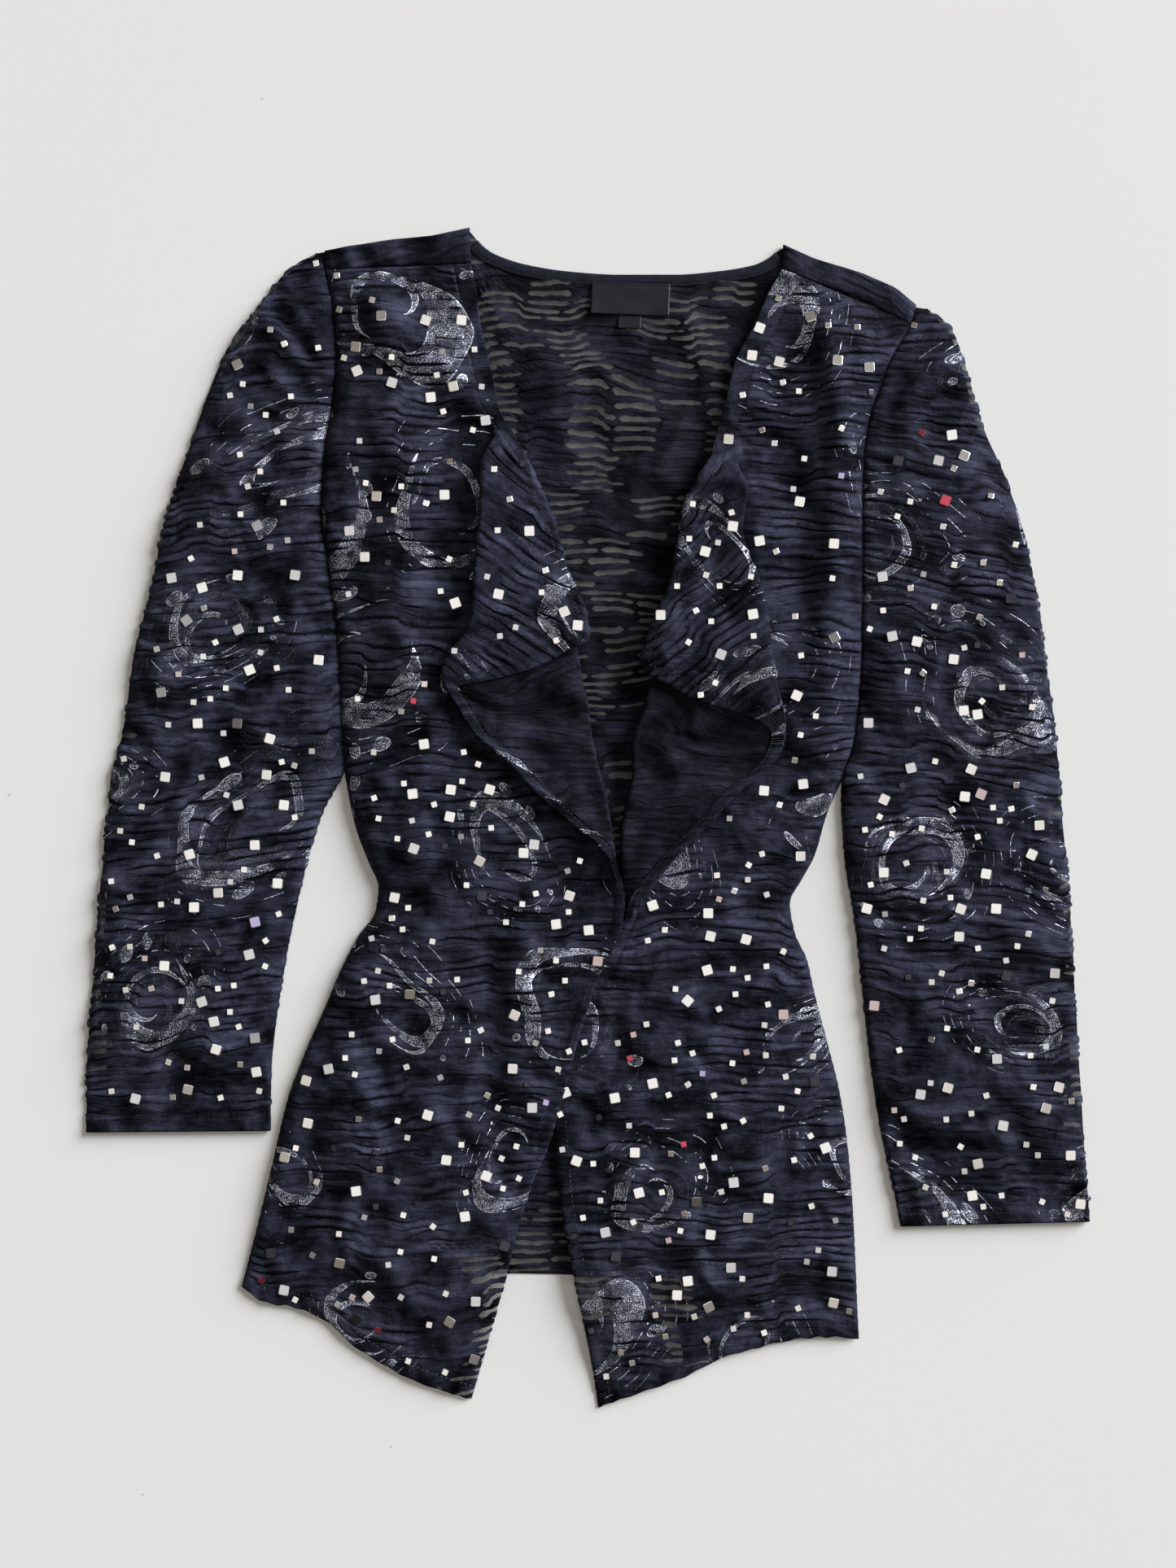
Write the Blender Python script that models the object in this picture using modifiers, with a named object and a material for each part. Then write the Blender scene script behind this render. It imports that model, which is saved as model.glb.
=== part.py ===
"""An open waterfall cardigan of crinkled stretch knit, laid flat on its back.

Seen from above, +Y points to the neck and +X to the wearer's left. The floor is z = 0 and the origin is the
middle of the garment's box on the floor. Lengths in the tables are millimetres. "Right" and "left" are the
wearer's.
"""
import math
from collections import namedtuple

import bmesh
import bpy
import numpy as np
from mathutils import Matrix

MM = 0.001

# Cloth: a plain wall, raised at the crests of its puckers, which keep clear of folds and edges
WALL = 1.2
PUCKER = 1.6
BACK_PUCKER = 0.9
BACK_PUCKER_SHARE = 0.8
PUCKER_BEND_X, PUCKER_BEND_Y = 31.0, 190.0
PUCKER_PATCH_X, PUCKER_PATCH_Y = 23.0, 37.0
CLEAR_OF_EDGE = 16.0
CLEAR_OF_LAPEL = 6.0
CLEAR_OF_ROLL = 8.0
SEAM_GAP = 0.3

# Heights of the wrong side of the upper layers above the floor
SIDE_SEAM_Z = WALL + SEAM_GAP
SEWN_Z = 3.0
LOFT_Z = 5.0
SIDE_ROUND = 22.0
EDGE_ROUND = 26.0
CREASE_FADE = 25.0
UNDERARM_Y = 150.0
UNDERARM_BLEND = 30.0

# Folds of the waterfall: the front fold, the lapel's roll and the turned hem
TIGHT_FOLD_RADIUS = 1.8
WIDE_FOLD_RADIUS = 3.0
ROLL_RADIUS = 1.7
HEM_RADIUS = 0.4
WIDE_REVERS = 25.0
LEAST_STEP = 2.0

# Grid of the cloth
BODY_STEPS, FOLD_STEPS, REVERS_STEPS, ROLL_STEPS, LAPEL_STEPS = 7, 3, 2, 3, 3
ROW_PITCH = 15.0
UNDERARM_LEVEL = 0.69
BACK_ROWS_BELOW, BACK_ROWS_ABOVE = 18, 17
BACK_MARGIN = 0.04
WRAP_TURNS = 4

# Back neck trims: size, then the place of the middle
BINDING_WIDTH = 7.0
BINDING_WALL = 1.0
BINDING_COLUMNS = 29
BINDING_END = 5.0
LABEL_SIZE = (51.0, 21.0, 0.8)
LABEL_PLACE = (27.5, 337.5, 3.2)
LABEL_TILT = -1.5
TAB_SIZE = (15.0, 10.0, 0.6)
TAB_PLACE = (27.0, 324.0, 2.2)

BLACK_KNIT = (0.012, 0.012, 0.020)
BLACK_SATIN = (0.008, 0.008, 0.010)

SidePoint = namedtuple("SidePoint", "y x")

# Armhole seam from the shoulder down to the underarm, then the side seam down to the hem
RIGHT_SIDE = [
    SidePoint(369, -171), SidePoint(356, -170), SidePoint(332, -165), SidePoint(300, -163),
    SidePoint(268, -166), SidePoint(236, -171), SidePoint(204, -173), SidePoint(162, -168),
    SidePoint(114, -163), SidePoint(60, -160), SidePoint(32, -158), SidePoint(8, -154),
    SidePoint(-8, -150), SidePoint(-29, -142), SidePoint(-45, -136), SidePoint(-61, -138),
    SidePoint(-77, -149), SidePoint(-98, -160), SidePoint(-124, -171), SidePoint(-151, -183),
    SidePoint(-183, -195), SidePoint(-225, -205), SidePoint(-262, -214), SidePoint(-304, -225),
]
LEFT_SIDE = [
    SidePoint(334, 213), SidePoint(321, 209), SidePoint(300, 197), SidePoint(279, 189),
    SidePoint(263, 183), SidePoint(236, 179), SidePoint(204, 178), SidePoint(162, 178),
    SidePoint(109, 178), SidePoint(56, 174), SidePoint(29, 166), SidePoint(3, 155),
    SidePoint(-24, 147), SidePoint(-39, 139), SidePoint(-55, 131), SidePoint(-74, 134),
    SidePoint(-92, 142), SidePoint(-114, 147), SidePoint(-145, 155), SidePoint(-177, 163),
    SidePoint(-209, 168), SidePoint(-241, 171), SidePoint(-273, 173), SidePoint(-334, 176),
]

TopPoint = namedtuple("TopPoint", "x fold_y seam_x seam_y")

# Top fold of the shoulders and the shoulder seam on the front, and the neckline between them
RIGHT_SHOULDER = [
    TopPoint(-171, 369, -170, 356), TopPoint(-155, 372, -154, 357), TopPoint(-129, 376, -129, 358),
    TopPoint(-100, 379, -100, 359), TopPoint(-77, 384, -76, 360),
]
LEFT_SHOULDER = [
    TopPoint(127, 373, 126, 357), TopPoint(147, 364, 145, 349), TopPoint(179, 354, 176, 338),
    TopPoint(200, 345, 197, 327), TopPoint(213, 334, 209, 321),
]
NECKLINE = [(-77, 384), (-70, 373), (-60, 366), (-38, 359), (-12, 355), (20, 353), (57, 353),
            (83, 355), (107, 359), (118, 364), (127, 373)]
BACK_HEM = [(-225, -304), (-130, -299), (-50, -296), (-12, -297), (60, -304), (120, -318), (176, -334)]

# One row for each level of a front. fold is the front fold, roll the lapel's roll or the turned hem,
# edge the free edge, turn the angle of both folds, hem 1 where the roll is a turned hem
FrontRow = namedtuple("FrontRow", "y_side y_edge fold roll edge turn hem even mid_z edge_z")

RIGHT_FRONT = [
    FrontRow(356, 360, -95, -95, -76, 0, 0, 1, 3.0, 3.0),
    FrontRow(335, 340, -92, -92, -72, 0, 0, 1, 5.0, 4.4),
    FrontRow(318, 321, -88, -88, -70, 0, 0, 1, 5.0, 4.4),
    FrontRow(288, 288, -80, -80, -62, 0, 0, 0.5, 5.0, 5.0),
    FrontRow(268, 266, -70, -71, -58, 0, 0, 0, 5.0, 5.0),
    FrontRow(252, 251, -62, -67, -50, 60, 0, 0, 5.0, 5.0),
    FrontRow(240, 239, -55, -67, -44, 140, 0, 0, 5.0, 5.0),
    FrontRow(224, 223, -46, -68, -36, 180, 0, 0, 5.0, 5.0),
    FrontRow(194, 194, -34, -69, -23, 180, 0, 0, 5.0, 5.0),
    FrontRow(162, 162, -24, -72, -14, 180, 0, 0, 5.0, 5.0),
    FrontRow(130, 130, -11, -74, -1, 180, 0, 0, 5.0, 5.0),
    FrontRow(117, 117, -8, -79, 0, 180, 0, 0, 5.0, 5.0),
    FrontRow(107, 107, -6, -87, -17, 180, 0, 0, 5.0, 5.0),
    FrontRow(97, 97, -4, -92, -36, 180, 0.2, 0, 5.0, 5.0),
    FrontRow(90, 90, -3, -93, -62, 180, 0.6, 0, 5.0, 5.0),
    FrontRow(85, 85, -2, -91, -83, 180, 1, 0, 5.0, 5.0),
    FrontRow(74, 74, 1, -84, -76, 180, 1, 0, 5.0, 5.0),
    FrontRow(56, 56, 3, -73, -65, 180, 1, 0, 5.0, 5.0),
    FrontRow(40, 40, 6, -54, -46, 180, 1, 0, 5.0, 5.0),
    FrontRow(20, 20, 11, -35, -27, 180, 1, 0, 5.0, 5.0),
    FrontRow(0, 0, 15, -13, -5, 180, 1, 0, 5.0, 5.0),
    FrontRow(-18, -18, 17.5, 8, 15, 175, 1, 0, 5.0, 5.5),
    FrontRow(-30, -30, 19, 14, 18.5, 110, 1, 0, 5.0, 7.0),
    FrontRow(-43, -43, 20, 19, 22.5, 45, 1, 0, 5.0, 8.8),
    FrontRow(-54, -54, 18, 17, 23.5, 0, 1, 0.1, 5.0, 11.0),
    FrontRow(-66, -66, 16, 16, 22.5, 0, 1, 0.4, 5.0, 11.0),
    FrontRow(-80, -82, 10, 10, 17, 0, 1, 0.8, 5.0, 8.2),
    FrontRow(-96, -100, 0, 0, 8, 0, 1, 1, 5.0, 7.0),
    FrontRow(-122, -135, -12, -12, -4, 0, 1, 1, 5.0, 6.6),
    FrontRow(-160, -183, -25, -25, -17, 0, 1, 1, 5.0, 6.6),
    FrontRow(-182, -210, -33, -33, -25, 0, 1, 1, 5.0, 5.8),
    FrontRow(-205, -236, -44, -44, -36, 0, 1, 1, 5.0, 4.4),
    FrontRow(-228, -264, -53, -53, -45, 0, 1, 1, 5.0, 3.4),
    FrontRow(-252, -296, -61, -61, -53, 0, 1, 1, 4.4, 2.6),
    FrontRow(-274, -328, -70, -70, -62, 0, 1, 1, 3.4, 1.4),
    FrontRow(-290, -357, -78, -78, -70, 0, 1, 1, 2.4, 0.5),
    FrontRow(-304, -378, -84, -84, -76, 0, 1, 1, 1.5, 0.0),
]
LEFT_FRONT = [
    FrontRow(321, 357, 140, 140, 126, 0, 0, 1, 3.0, 3.0),
    FrontRow(312, 340, 134, 134, 117, 0, 0, 1, 5.0, 4.4),
    FrontRow(300, 318, 125, 125, 107, 0, 0, 1, 5.0, 4.4),
    FrontRow(284, 295, 113, 113, 95, 0, 0, 0.6, 5.0, 5.0),
    FrontRow(266, 270, 108, 108, 89, 0, 0, 0.2, 5.0, 5.0),
    FrontRow(247, 248, 101, 103, 83, 0, 0, 0, 5.0, 5.0),
    FrontRow(233, 233, 98, 103, 79, 60, 0, 0, 5.0, 5.0),
    FrontRow(221, 221, 90, 102, 73, 140, 0, 0, 5.0, 5.0),
    FrontRow(208, 208, 78, 101, 65, 180, 0, 0, 5.0, 5.0),
    FrontRow(187, 187, 68, 98, 60, 180, 0, 0, 5.0, 5.0),
    FrontRow(170, 170, 64, 102, 57, 180, 0, 0, 5.0, 5.0),
    FrontRow(153, 153, 60, 109, 53, 180, 0, 0, 5.0, 5.0),
    FrontRow(132, 132, 52, 114, 45, 180, 0, 0, 5.0, 5.0),
    FrontRow(112, 112, 45, 116, 37, 180, 0, 0, 5.0, 5.0),
    FrontRow(99, 99, 42, 118, 35, 180, 0, 0, 5.0, 5.0),
    FrontRow(86, 86, 39, 120, 53, 180, 0, 0, 5.0, 5.0),
    FrontRow(77, 77, 37, 122, 70, 180, 0, 0, 5.0, 5.0),
    FrontRow(70, 70, 35, 124, 92, 180, 0.2, 0, 5.0, 5.0),
    FrontRow(62, 62, 32, 126, 112, 180, 0.6, 0, 5.0, 5.0),
    FrontRow(54, 54, 29, 126, 118, 180, 1, 0, 5.0, 5.0),
    FrontRow(43, 43, 28, 123, 115, 180, 1, 0, 5.0, 5.0),
    FrontRow(31, 31, 28, 114, 106, 180, 1, 0, 5.0, 5.0),
    FrontRow(18, 18, 26, 97, 89, 180, 1, 0, 5.0, 5.0),
    FrontRow(0, 0, 22, 80, 72, 180, 1, 0, 5.0, 4.6),
    FrontRow(-20, -20, 20.5, 60, 52, 180, 1, 0, 5.0, 3.6),
    FrontRow(-38, -38, 20.5, 45, 37, 180, 1, 0, 5.0, 3.2),
    FrontRow(-52, -52, 21.5, 35, 27, 160, 1, 0, 5.0, 3.0),
    FrontRow(-64, -64, 23.5, 28, 24, 60, 1, 0, 4.8, 3.0),
    FrontRow(-75, -75, 22, 24, 18, 30, 1, 0, 4.6, 3.2),
    FrontRow(-86, -86, 20, 20, 14, 0, 1, 0.2, 4.4, 3.0),
    FrontRow(-96, -100, 14, 14, 6, 0, 1, 0.7, 4.4, 2.8),
    FrontRow(-108, -119, 4, 4, -4, 0, 1, 1, 4.6, 2.8),
    FrontRow(-140, -160, -9, -9, -17, 0, 1, 1, 4.8, 2.8),
    FrontRow(-172, -190, -14, -14, -22, 0, 1, 1, 5.0, 2.8),
    FrontRow(-190, -209, -13, -13, -21, 0, 1, 1, 5.0, 2.8),
    FrontRow(-222, -244, -10, -10, -18, 0, 1, 1, 5.0, 2.8),
    FrontRow(-254, -280, -4, -4, -12, 0, 1, 1, 4.6, 2.6),
    FrontRow(-282, -312, 2, 2, -6, 0, 1, 1, 3.8, 1.8),
    FrontRow(-308, -346, 9, 9, 1, 0, 1, 1, 2.6, 0.6),
    FrontRow(-334, -383, 15, 15, 7, 0, 1, 1, 1.5, 0.0),
]

# Sleeves: one row for each level, from the shoulder to the cuff
SleeveRow = namedtuple("SleeveRow", "y_in y_out inner outer")

RIGHT_SLEEVE = [
    SleeveRow(368, 367, -171.5, -177), SleeveRow(358, 355, -170.5, -196), SleeveRow(332, 330, -165.5, -216),
    SleeveRow(300, 296, -163.5, -239), SleeveRow(268, 262, -166.5, -252), SleeveRow(236, 226, -171.5, -264),
    SleeveRow(204, 192, -173.5, -275), SleeveRow(162, 150, -168.5, -284), SleeveRow(114, 104, -163.5, -295),
    SleeveRow(60, 54, -160.5, -303), SleeveRow(34, 28, -160, -310), SleeveRow(4, -2, -174, -313),
    SleeveRow(-29, -35, -184, -316), SleeveRow(-77, -84, -195, -320), SleeveRow(-124, -132, -203, -324),
    SleeveRow(-161, -168, -207, -326), SleeveRow(-203, -204, -208, -326),
]
LEFT_SLEEVE = [
    SleeveRow(332, 331, 214, 221), SleeveRow(320, 318, 209.5, 236), SleeveRow(300, 294, 197.5, 245),
    SleeveRow(279, 270, 189.5, 252), SleeveRow(263, 250, 183.5, 259), SleeveRow(236, 222, 179.5, 271),
    SleeveRow(204, 190, 178.5, 282), SleeveRow(162, 146, 178.5, 291), SleeveRow(109, 94, 178.5, 299),
    SleeveRow(56, 42, 174.5, 305), SleeveRow(28, 16, 167, 307), SleeveRow(12, 2, 166, 308),
    SleeveRow(-24, -32, 168, 311), SleeveRow(-61, -68, 174, 314), SleeveRow(-103, -108, 179, 316),
    SleeveRow(-151, -154, 184, 319), SleeveRow(-204, -205, 192, 322), SleeveRow(-236, -236, 199, 324),
    SleeveRow(-265, -262, 205, 326),
]
SLEEVE_FOLD_RADIUS = 0.9
SLEEVE_CLEARANCE = 1.6
SLEEVE_GAP_Y = 33.0
SLEEVE_CLOSING = 12.0
SLEEVE_ROUND = 20.0
SLEEVE_FULL_WIDTH = 60.0
SLEEVE_CUFF_ROWS = 5
SLEEVE_PATTERN_WIDTH = 40.0

# Largest creases of the fronts: a soft ridge, or a trough where the height is below zero
Crease = namedtuple("Crease", "x0 y0 x1 y1 width height")

RIGHT_CREASES = [
    Crease(-140, 335, -84, 280, 9, 2.2),
    Crease(-150, 300, -100, 262, 8, -1.2),
    Crease(-100, -58, -40, -84, 8, 2.4),
    Crease(-128, -46, -75, -66, 7, -1.4),
    Crease(-60, 10, -78, -50, 11, 1.4),
]
LEFT_CREASES = [
    Crease(155, 310, 172, 255, 9, 2.4),
    Crease(172, 250, 170, 160, 8, 1.8),
    Crease(122, -72, 40, -94, 8, 2.4),
    Crease(110, -50, 62, -66, 7, -1.2),
    Crease(120, -110, 50, -118, 9, 1.2),
]


def slopes_between(knots, values):
    """Slopes at the knots that keep a curve through them smooth and free of overshoot."""
    rise = np.diff(values) / np.diff(knots)
    slopes = np.concatenate([[rise[0]], np.zeros(len(rise) - 1), [rise[-1]]])
    same = rise[:-1] * rise[1:] > 0
    slopes[1:-1][same] = 2 * rise[:-1][same] * rise[1:][same] / (rise[:-1][same] + rise[1:][same])
    return slopes


def smooth_read(knots, values, at):
    """Reads a column between the rows of its table. The knots rise."""
    knots, values, at = (np.asarray(a, float) for a in (knots, values, at))
    slopes = slopes_between(knots, values)
    at = np.clip(at, knots[0], knots[-1])
    i = np.clip(np.searchsorted(knots, at, side="right") - 1, 0, len(knots) - 2)
    width = knots[i + 1] - knots[i]
    t = (at - knots[i]) / width
    return (
        values[i] * (1 + 2 * t) * (1 - t) ** 2
        + values[i + 1] * t * t * (3 - 2 * t)
        + width * (slopes[i] * t * (1 - t) ** 2 - slopes[i + 1] * t * t * (1 - t))
    )


def fill_rows(table, spacing_column, pitch):
    """Reads every column of a table at rows no further apart than the pitch."""
    places = np.array([getattr(row, spacing_column) for row in table], float)
    levels = [0.0]
    for i, gap in enumerate(np.abs(np.diff(places))):
        parts = max(1, math.ceil(gap / pitch))
        levels += [i + (k + 1) / parts for k in range(parts)]
    knots = np.arange(len(table))
    columns = {
        name: smooth_read(knots, [getattr(row, name) for row in table], levels) for name in table[0]._fields
    }
    return [type(table[0])(*values) for values in zip(*columns.values())]


def side_x(side, y):
    """The x of a side seam or armhole at a height."""
    points = sorted(side)
    return float(smooth_read([p.y for p in points], [p.x for p in points], y))


def edge_round(distance, width):
    """1 at a rounded edge, 0 once the cloth has reached its full height."""
    q = min(max(distance / width, 0.0), 1.0)
    return 1 - math.sqrt(1 - (1 - q) ** 2)


def smooth_step(low, high, value):
    t = min(max((value - low) / (high - low), 0.0), 1.0)
    return t * t * (3 - 2 * t)


def sinking_edge(distance):
    return edge_round(distance, EDGE_ROUND)


def rising_edge(distance):
    return 1 - smooth_step(0, EDGE_ROUND, distance)


def crease_height(creases, x, y):
    """The sum of the creases at a point, each fading out along and across its line."""
    total = 0.0
    for c in creases:
        along_x, along_y = c.x1 - c.x0, c.y1 - c.y0
        length = math.hypot(along_x, along_y)
        t = ((x - c.x0) * along_x + (y - c.y0) * along_y) / length ** 2
        across = ((x - c.x0) * along_y - (y - c.y0) * along_x) / length
        beyond = max(-t, t - 1, 0.0) * length
        total += c.height * math.exp(-((across / c.width) ** 2) - (beyond / (2 * c.width)) ** 2)
    return total


def pucker_weight(row_index, x, y):
    """How far a wall's outer point stands up: crests on every other row, broken and shifted along x."""
    wave = math.cos(math.pi * row_index + 1.1 * math.sin(x / PUCKER_BEND_X + y / PUCKER_BEND_Y))
    patch = 0.7 + 0.3 * math.sin(x / PUCKER_PATCH_X + 1.7 * math.sin(y / PUCKER_PATCH_Y))
    return max(0.0, wave) * patch


def walk(steps):
    """Follows (length, turn) steps from the origin along +x, turning up, and returns the points passed."""
    heading, x, z = 0.0, 0.0, 0.0
    points = [(x, z)]
    for length, turn in steps:
        heading += turn / 2
        x += length * math.cos(heading)
        z += length * math.sin(heading)
        heading += turn / 2
        points.append((x, z))
    return np.array(points)


def front_section(row, side, outward):
    """A front's wrong side at one level, from its side seam to its free edge.

    It runs over the body to the front fold, back over the revers, and forward again over the lapel or the
    turned hem. Returns the x and z of its points and which of them may be raised by puckers.
    """
    turn = math.radians(row.turn)
    start = side_x(side, row.y_side)
    fold, roll, edge = (outward * (v - start) for v in (row.fold, row.roll, row.edge))
    looseness = smooth_step(0, WIDE_REVERS, fold - roll)
    fold_radius = TIGHT_FOLD_RADIUS + (WIDE_FOLD_RADIUS - TIGHT_FOLD_RADIUS) * looseness
    roll_radius = ROLL_RADIUS + (HEM_RADIUS - ROLL_RADIUS) * row.hem
    fold_arc = max(fold_radius * turn, LEAST_STEP)
    roll_arc = max(roll_radius * turn, LEAST_STEP if turn < 1.5 else 0.0)
    reach = fold_radius * math.sin(min(turn, math.pi / 2))
    revers = max(LEAST_STEP, (fold - fold_radius) - (roll + roll_radius))
    folds = (
        [(fold_arc / FOLD_STEPS, turn / FOLD_STEPS)] * FOLD_STEPS
        + [(revers / REVERS_STEPS, 0.0)] * REVERS_STEPS
        + [(roll_arc / ROLL_STEPS, -turn / ROLL_STEPS)] * ROLL_STEPS
    )
    gained = walk(folds)[-1][0]
    body = fold - reach
    lapel = edge - body - gained
    if lapel < LEAST_STEP:
        body -= LEAST_STEP - lapel
        lapel = LEAST_STEP
    steps = [(body / BODY_STEPS, 0.0)] * BODY_STEPS + folds + [(lapel / LAPEL_STEPS, 0.0)] * LAPEL_STEPS
    path = walk(steps)
    lengths = np.concatenate([[0.0], np.cumsum([length for length, _ in steps])])
    even = np.linspace(0.0, lengths[-1], len(lengths))
    at = (1 - row.even) * lengths + row.even * even
    x = np.interp(at, lengths, path[:, 0])
    z = np.interp(at, lengths, path[:, 1])
    on_lapel = np.arange(len(x)) > BODY_STEPS + FOLD_STEPS + REVERS_STEPS + ROLL_STEPS
    folded = row.turn > 1
    clear_of_flap = x < (roll - CLEAR_OF_LAPEL if folded else edge - CLEAR_OF_EDGE)
    clear_of_rim = x < max(edge, roll) - CLEAR_OF_ROLL
    raised = (clear_of_flap | (on_lapel & folded & clear_of_rim)) & (x > CLEAR_OF_ROLL)
    if row.hem > 0.5 and folded:
        raised &= ~on_lapel
    return start, x, z, raised


def front_rows(table, side, outward, creases):
    """The grid of a front: rows of (x, y, z, pucker weight)."""
    rows = fill_rows(table, "y_edge", ROW_PITCH)
    grid = []
    for index, row in enumerate(rows):
        start, across, up, raised = front_section(row, side, outward)
        furthest = across.max()
        below_sleeve = 1 - smooth_step(UNDERARM_Y - UNDERARM_BLEND, UNDERARM_Y, row.y_side)
        side_z = SEWN_Z + (SIDE_SEAM_Z - SEWN_Z) * below_sleeve
        edge_shape = sinking_edge if row.edge_z < row.mid_z else rising_edge
        at_hem = index == len(rows) - 1
        line = []
        for p, z, lifted in zip(across, up, raised):
            x = start + outward * p
            y = row.y_side + (row.y_edge - row.y_side) * min(p / furthest, 1.0)
            height = (
                row.mid_z
                - (row.mid_z - side_z) * edge_round(p, SIDE_ROUND)
                - (row.mid_z - row.edge_z) * edge_shape(furthest - p)
            )
            from_ends = min(index, len(rows) - 1 - index) * ROW_PITCH
            inside = smooth_step(0, CREASE_FADE, p) * smooth_step(0, CREASE_FADE, from_ends)
            height += inside * crease_height(creases, x, y)
            weight = pucker_weight(index, x, y) if lifted and 0 < index and not at_hem else 0.0
            line.append((x, y, height + z, weight))
        grid.append(line)
    return grid


def sleeve_rows(table, side):
    """The grid of a sleeve, over the upper layer to the outer fold and back under: (x, y, z, weight).

    Down to the underarm both layers end at the armhole. Below it they meet, so the row is a closed ring.
    """
    rows = fill_rows(table, "y_out", ROW_PITCH)
    grid = []
    for index, row in enumerate(rows):
        closed = 1 - smooth_step(UNDERARM_Y - SLEEVE_CLOSING, UNDERARM_Y, row.y_in)
        outward = math.copysign(1.0, row.outer - row.inner)
        beside = side_x(side, row.y_in) + outward * SLEEVE_CLEARANCE
        inner = row.inner if row.y_in < SLEEVE_GAP_Y else beside
        inner += outward * WALL * closed
        span = row.outer - outward * WALL - inner
        width = abs(span)
        from_cuff = len(rows) - index
        opening = smooth_step(0, SLEEVE_FULL_WIDTH, width) * smooth_step(0, SLEEVE_CUFF_ROWS, from_cuff)
        top = SEWN_Z + (LOFT_Z - SEWN_Z) * opening
        fold_middle = WALL + SLEEVE_FOLD_RADIUS
        fold_top = WALL + 2 * SLEEVE_FOLD_RADIUS
        fold_step = min(0.2, SLEEVE_FOLD_RADIUS / width)
        over = (0.0, fold_step, 0.2, 0.5, 0.8, 1 - fold_step, 1.0)
        under = (1 - fold_step, 0.67, 0.33, fold_step, 0.0)
        sewn_end = closed * fold_middle + (1 - closed) * SEWN_Z
        line = []
        for t in over:
            inner_end = SEWN_Z + (fold_top - SEWN_Z) * closed
            at_seam = (top - inner_end) * edge_round(t * width, SLEEVE_ROUND)
            at_fold = (top - fold_top) * edge_round((1 - t) * width, SLEEVE_ROUND)
            z = {0.0: sewn_end, 1.0: fold_middle}.get(t, max(top - at_seam - at_fold, fold_top))
            pattern_x = row.outer + t * SLEEVE_PATTERN_WIDTH
            inside = 0.1 < t < 0.9 and 0 < index < len(rows) - 1
            line.append((t, z, pucker_weight(index, pattern_x, row.y_in) if inside else 0.0))
        under_end = closed * fold_middle + (1 - closed) * WALL
        line += [(t, under_end if t == 0 else WALL, 0.0) for t in under]
        grid.append([
            (inner + t * span, row.y_in + t * (row.y_out - row.y_in), z, weight) for t, z, weight in line
        ])
    return grid


def cloth_material(name, colour, roughness, metallic=0.0):
    material = bpy.data.materials.new(name)
    material.use_nodes = True
    shader = material.node_tree.nodes["Principled BSDF"]
    shader.inputs["Base Color"].default_value = (*colour, 1.0)
    shader.inputs["Roughness"].default_value = roughness
    shader.inputs["Metallic"].default_value = metallic
    return material


def add_object(name, mesh, collection, colour, roughness):
    mesh.materials.append(cloth_material(f"{name}_cloth", colour, roughness))
    piece = bpy.data.objects.new(name, mesh)
    collection.objects.link(piece)
    return piece


def thicken(piece, plain, raised):
    """Gives a sheet its wall, outwards along its normals, thicker at the puckers' crests."""
    solidify = piece.modifiers.new("Wall", "SOLIDIFY")
    solidify.thickness = (plain + raised) * MM
    solidify.offset = 1.0
    if raised:
        solidify.vertex_group = "pucker"
        solidify.thickness_vertex_group = plain / (plain + raised)


def add_sheet(name, grids, collection, colour, facing, plain=WALL, raised=PUCKER):
    """Makes one cut piece from grids of (x, y, z, pucker weight) rows.

    Grids share the points where they meet. facing is 1 or -1 and turns the normals to the side that the
    wall grows on.
    """
    mesh = bpy.data.meshes.new(name)
    sheet = bmesh.new()
    weights = sheet.verts.layers.deform.verify()
    for grid in grids:
        lines = []
        for row in grid:
            line = []
            for x, y, z, weight in row:
                point = sheet.verts.new((x * MM, y * MM, z * MM))
                point[weights][0] = weight
                line.append(point)
            lines.append(line)
        for near, far in zip(lines, lines[1:]):
            for a, b, c, d in zip(near, near[1:], far[1:], far):
                sheet.faces.new((a, b, c, d) if facing > 0 else (d, c, b, a))
    bmesh.ops.remove_doubles(sheet, verts=sheet.verts, dist=0.02 * MM)
    sheet.to_mesh(mesh)
    sheet.free()
    mesh.shade_smooth()
    piece = add_object(name, mesh, collection, colour, 0.8)
    piece.vertex_groups.new(name="pucker")
    thicken(piece, plain, raised)
    return piece


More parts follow.
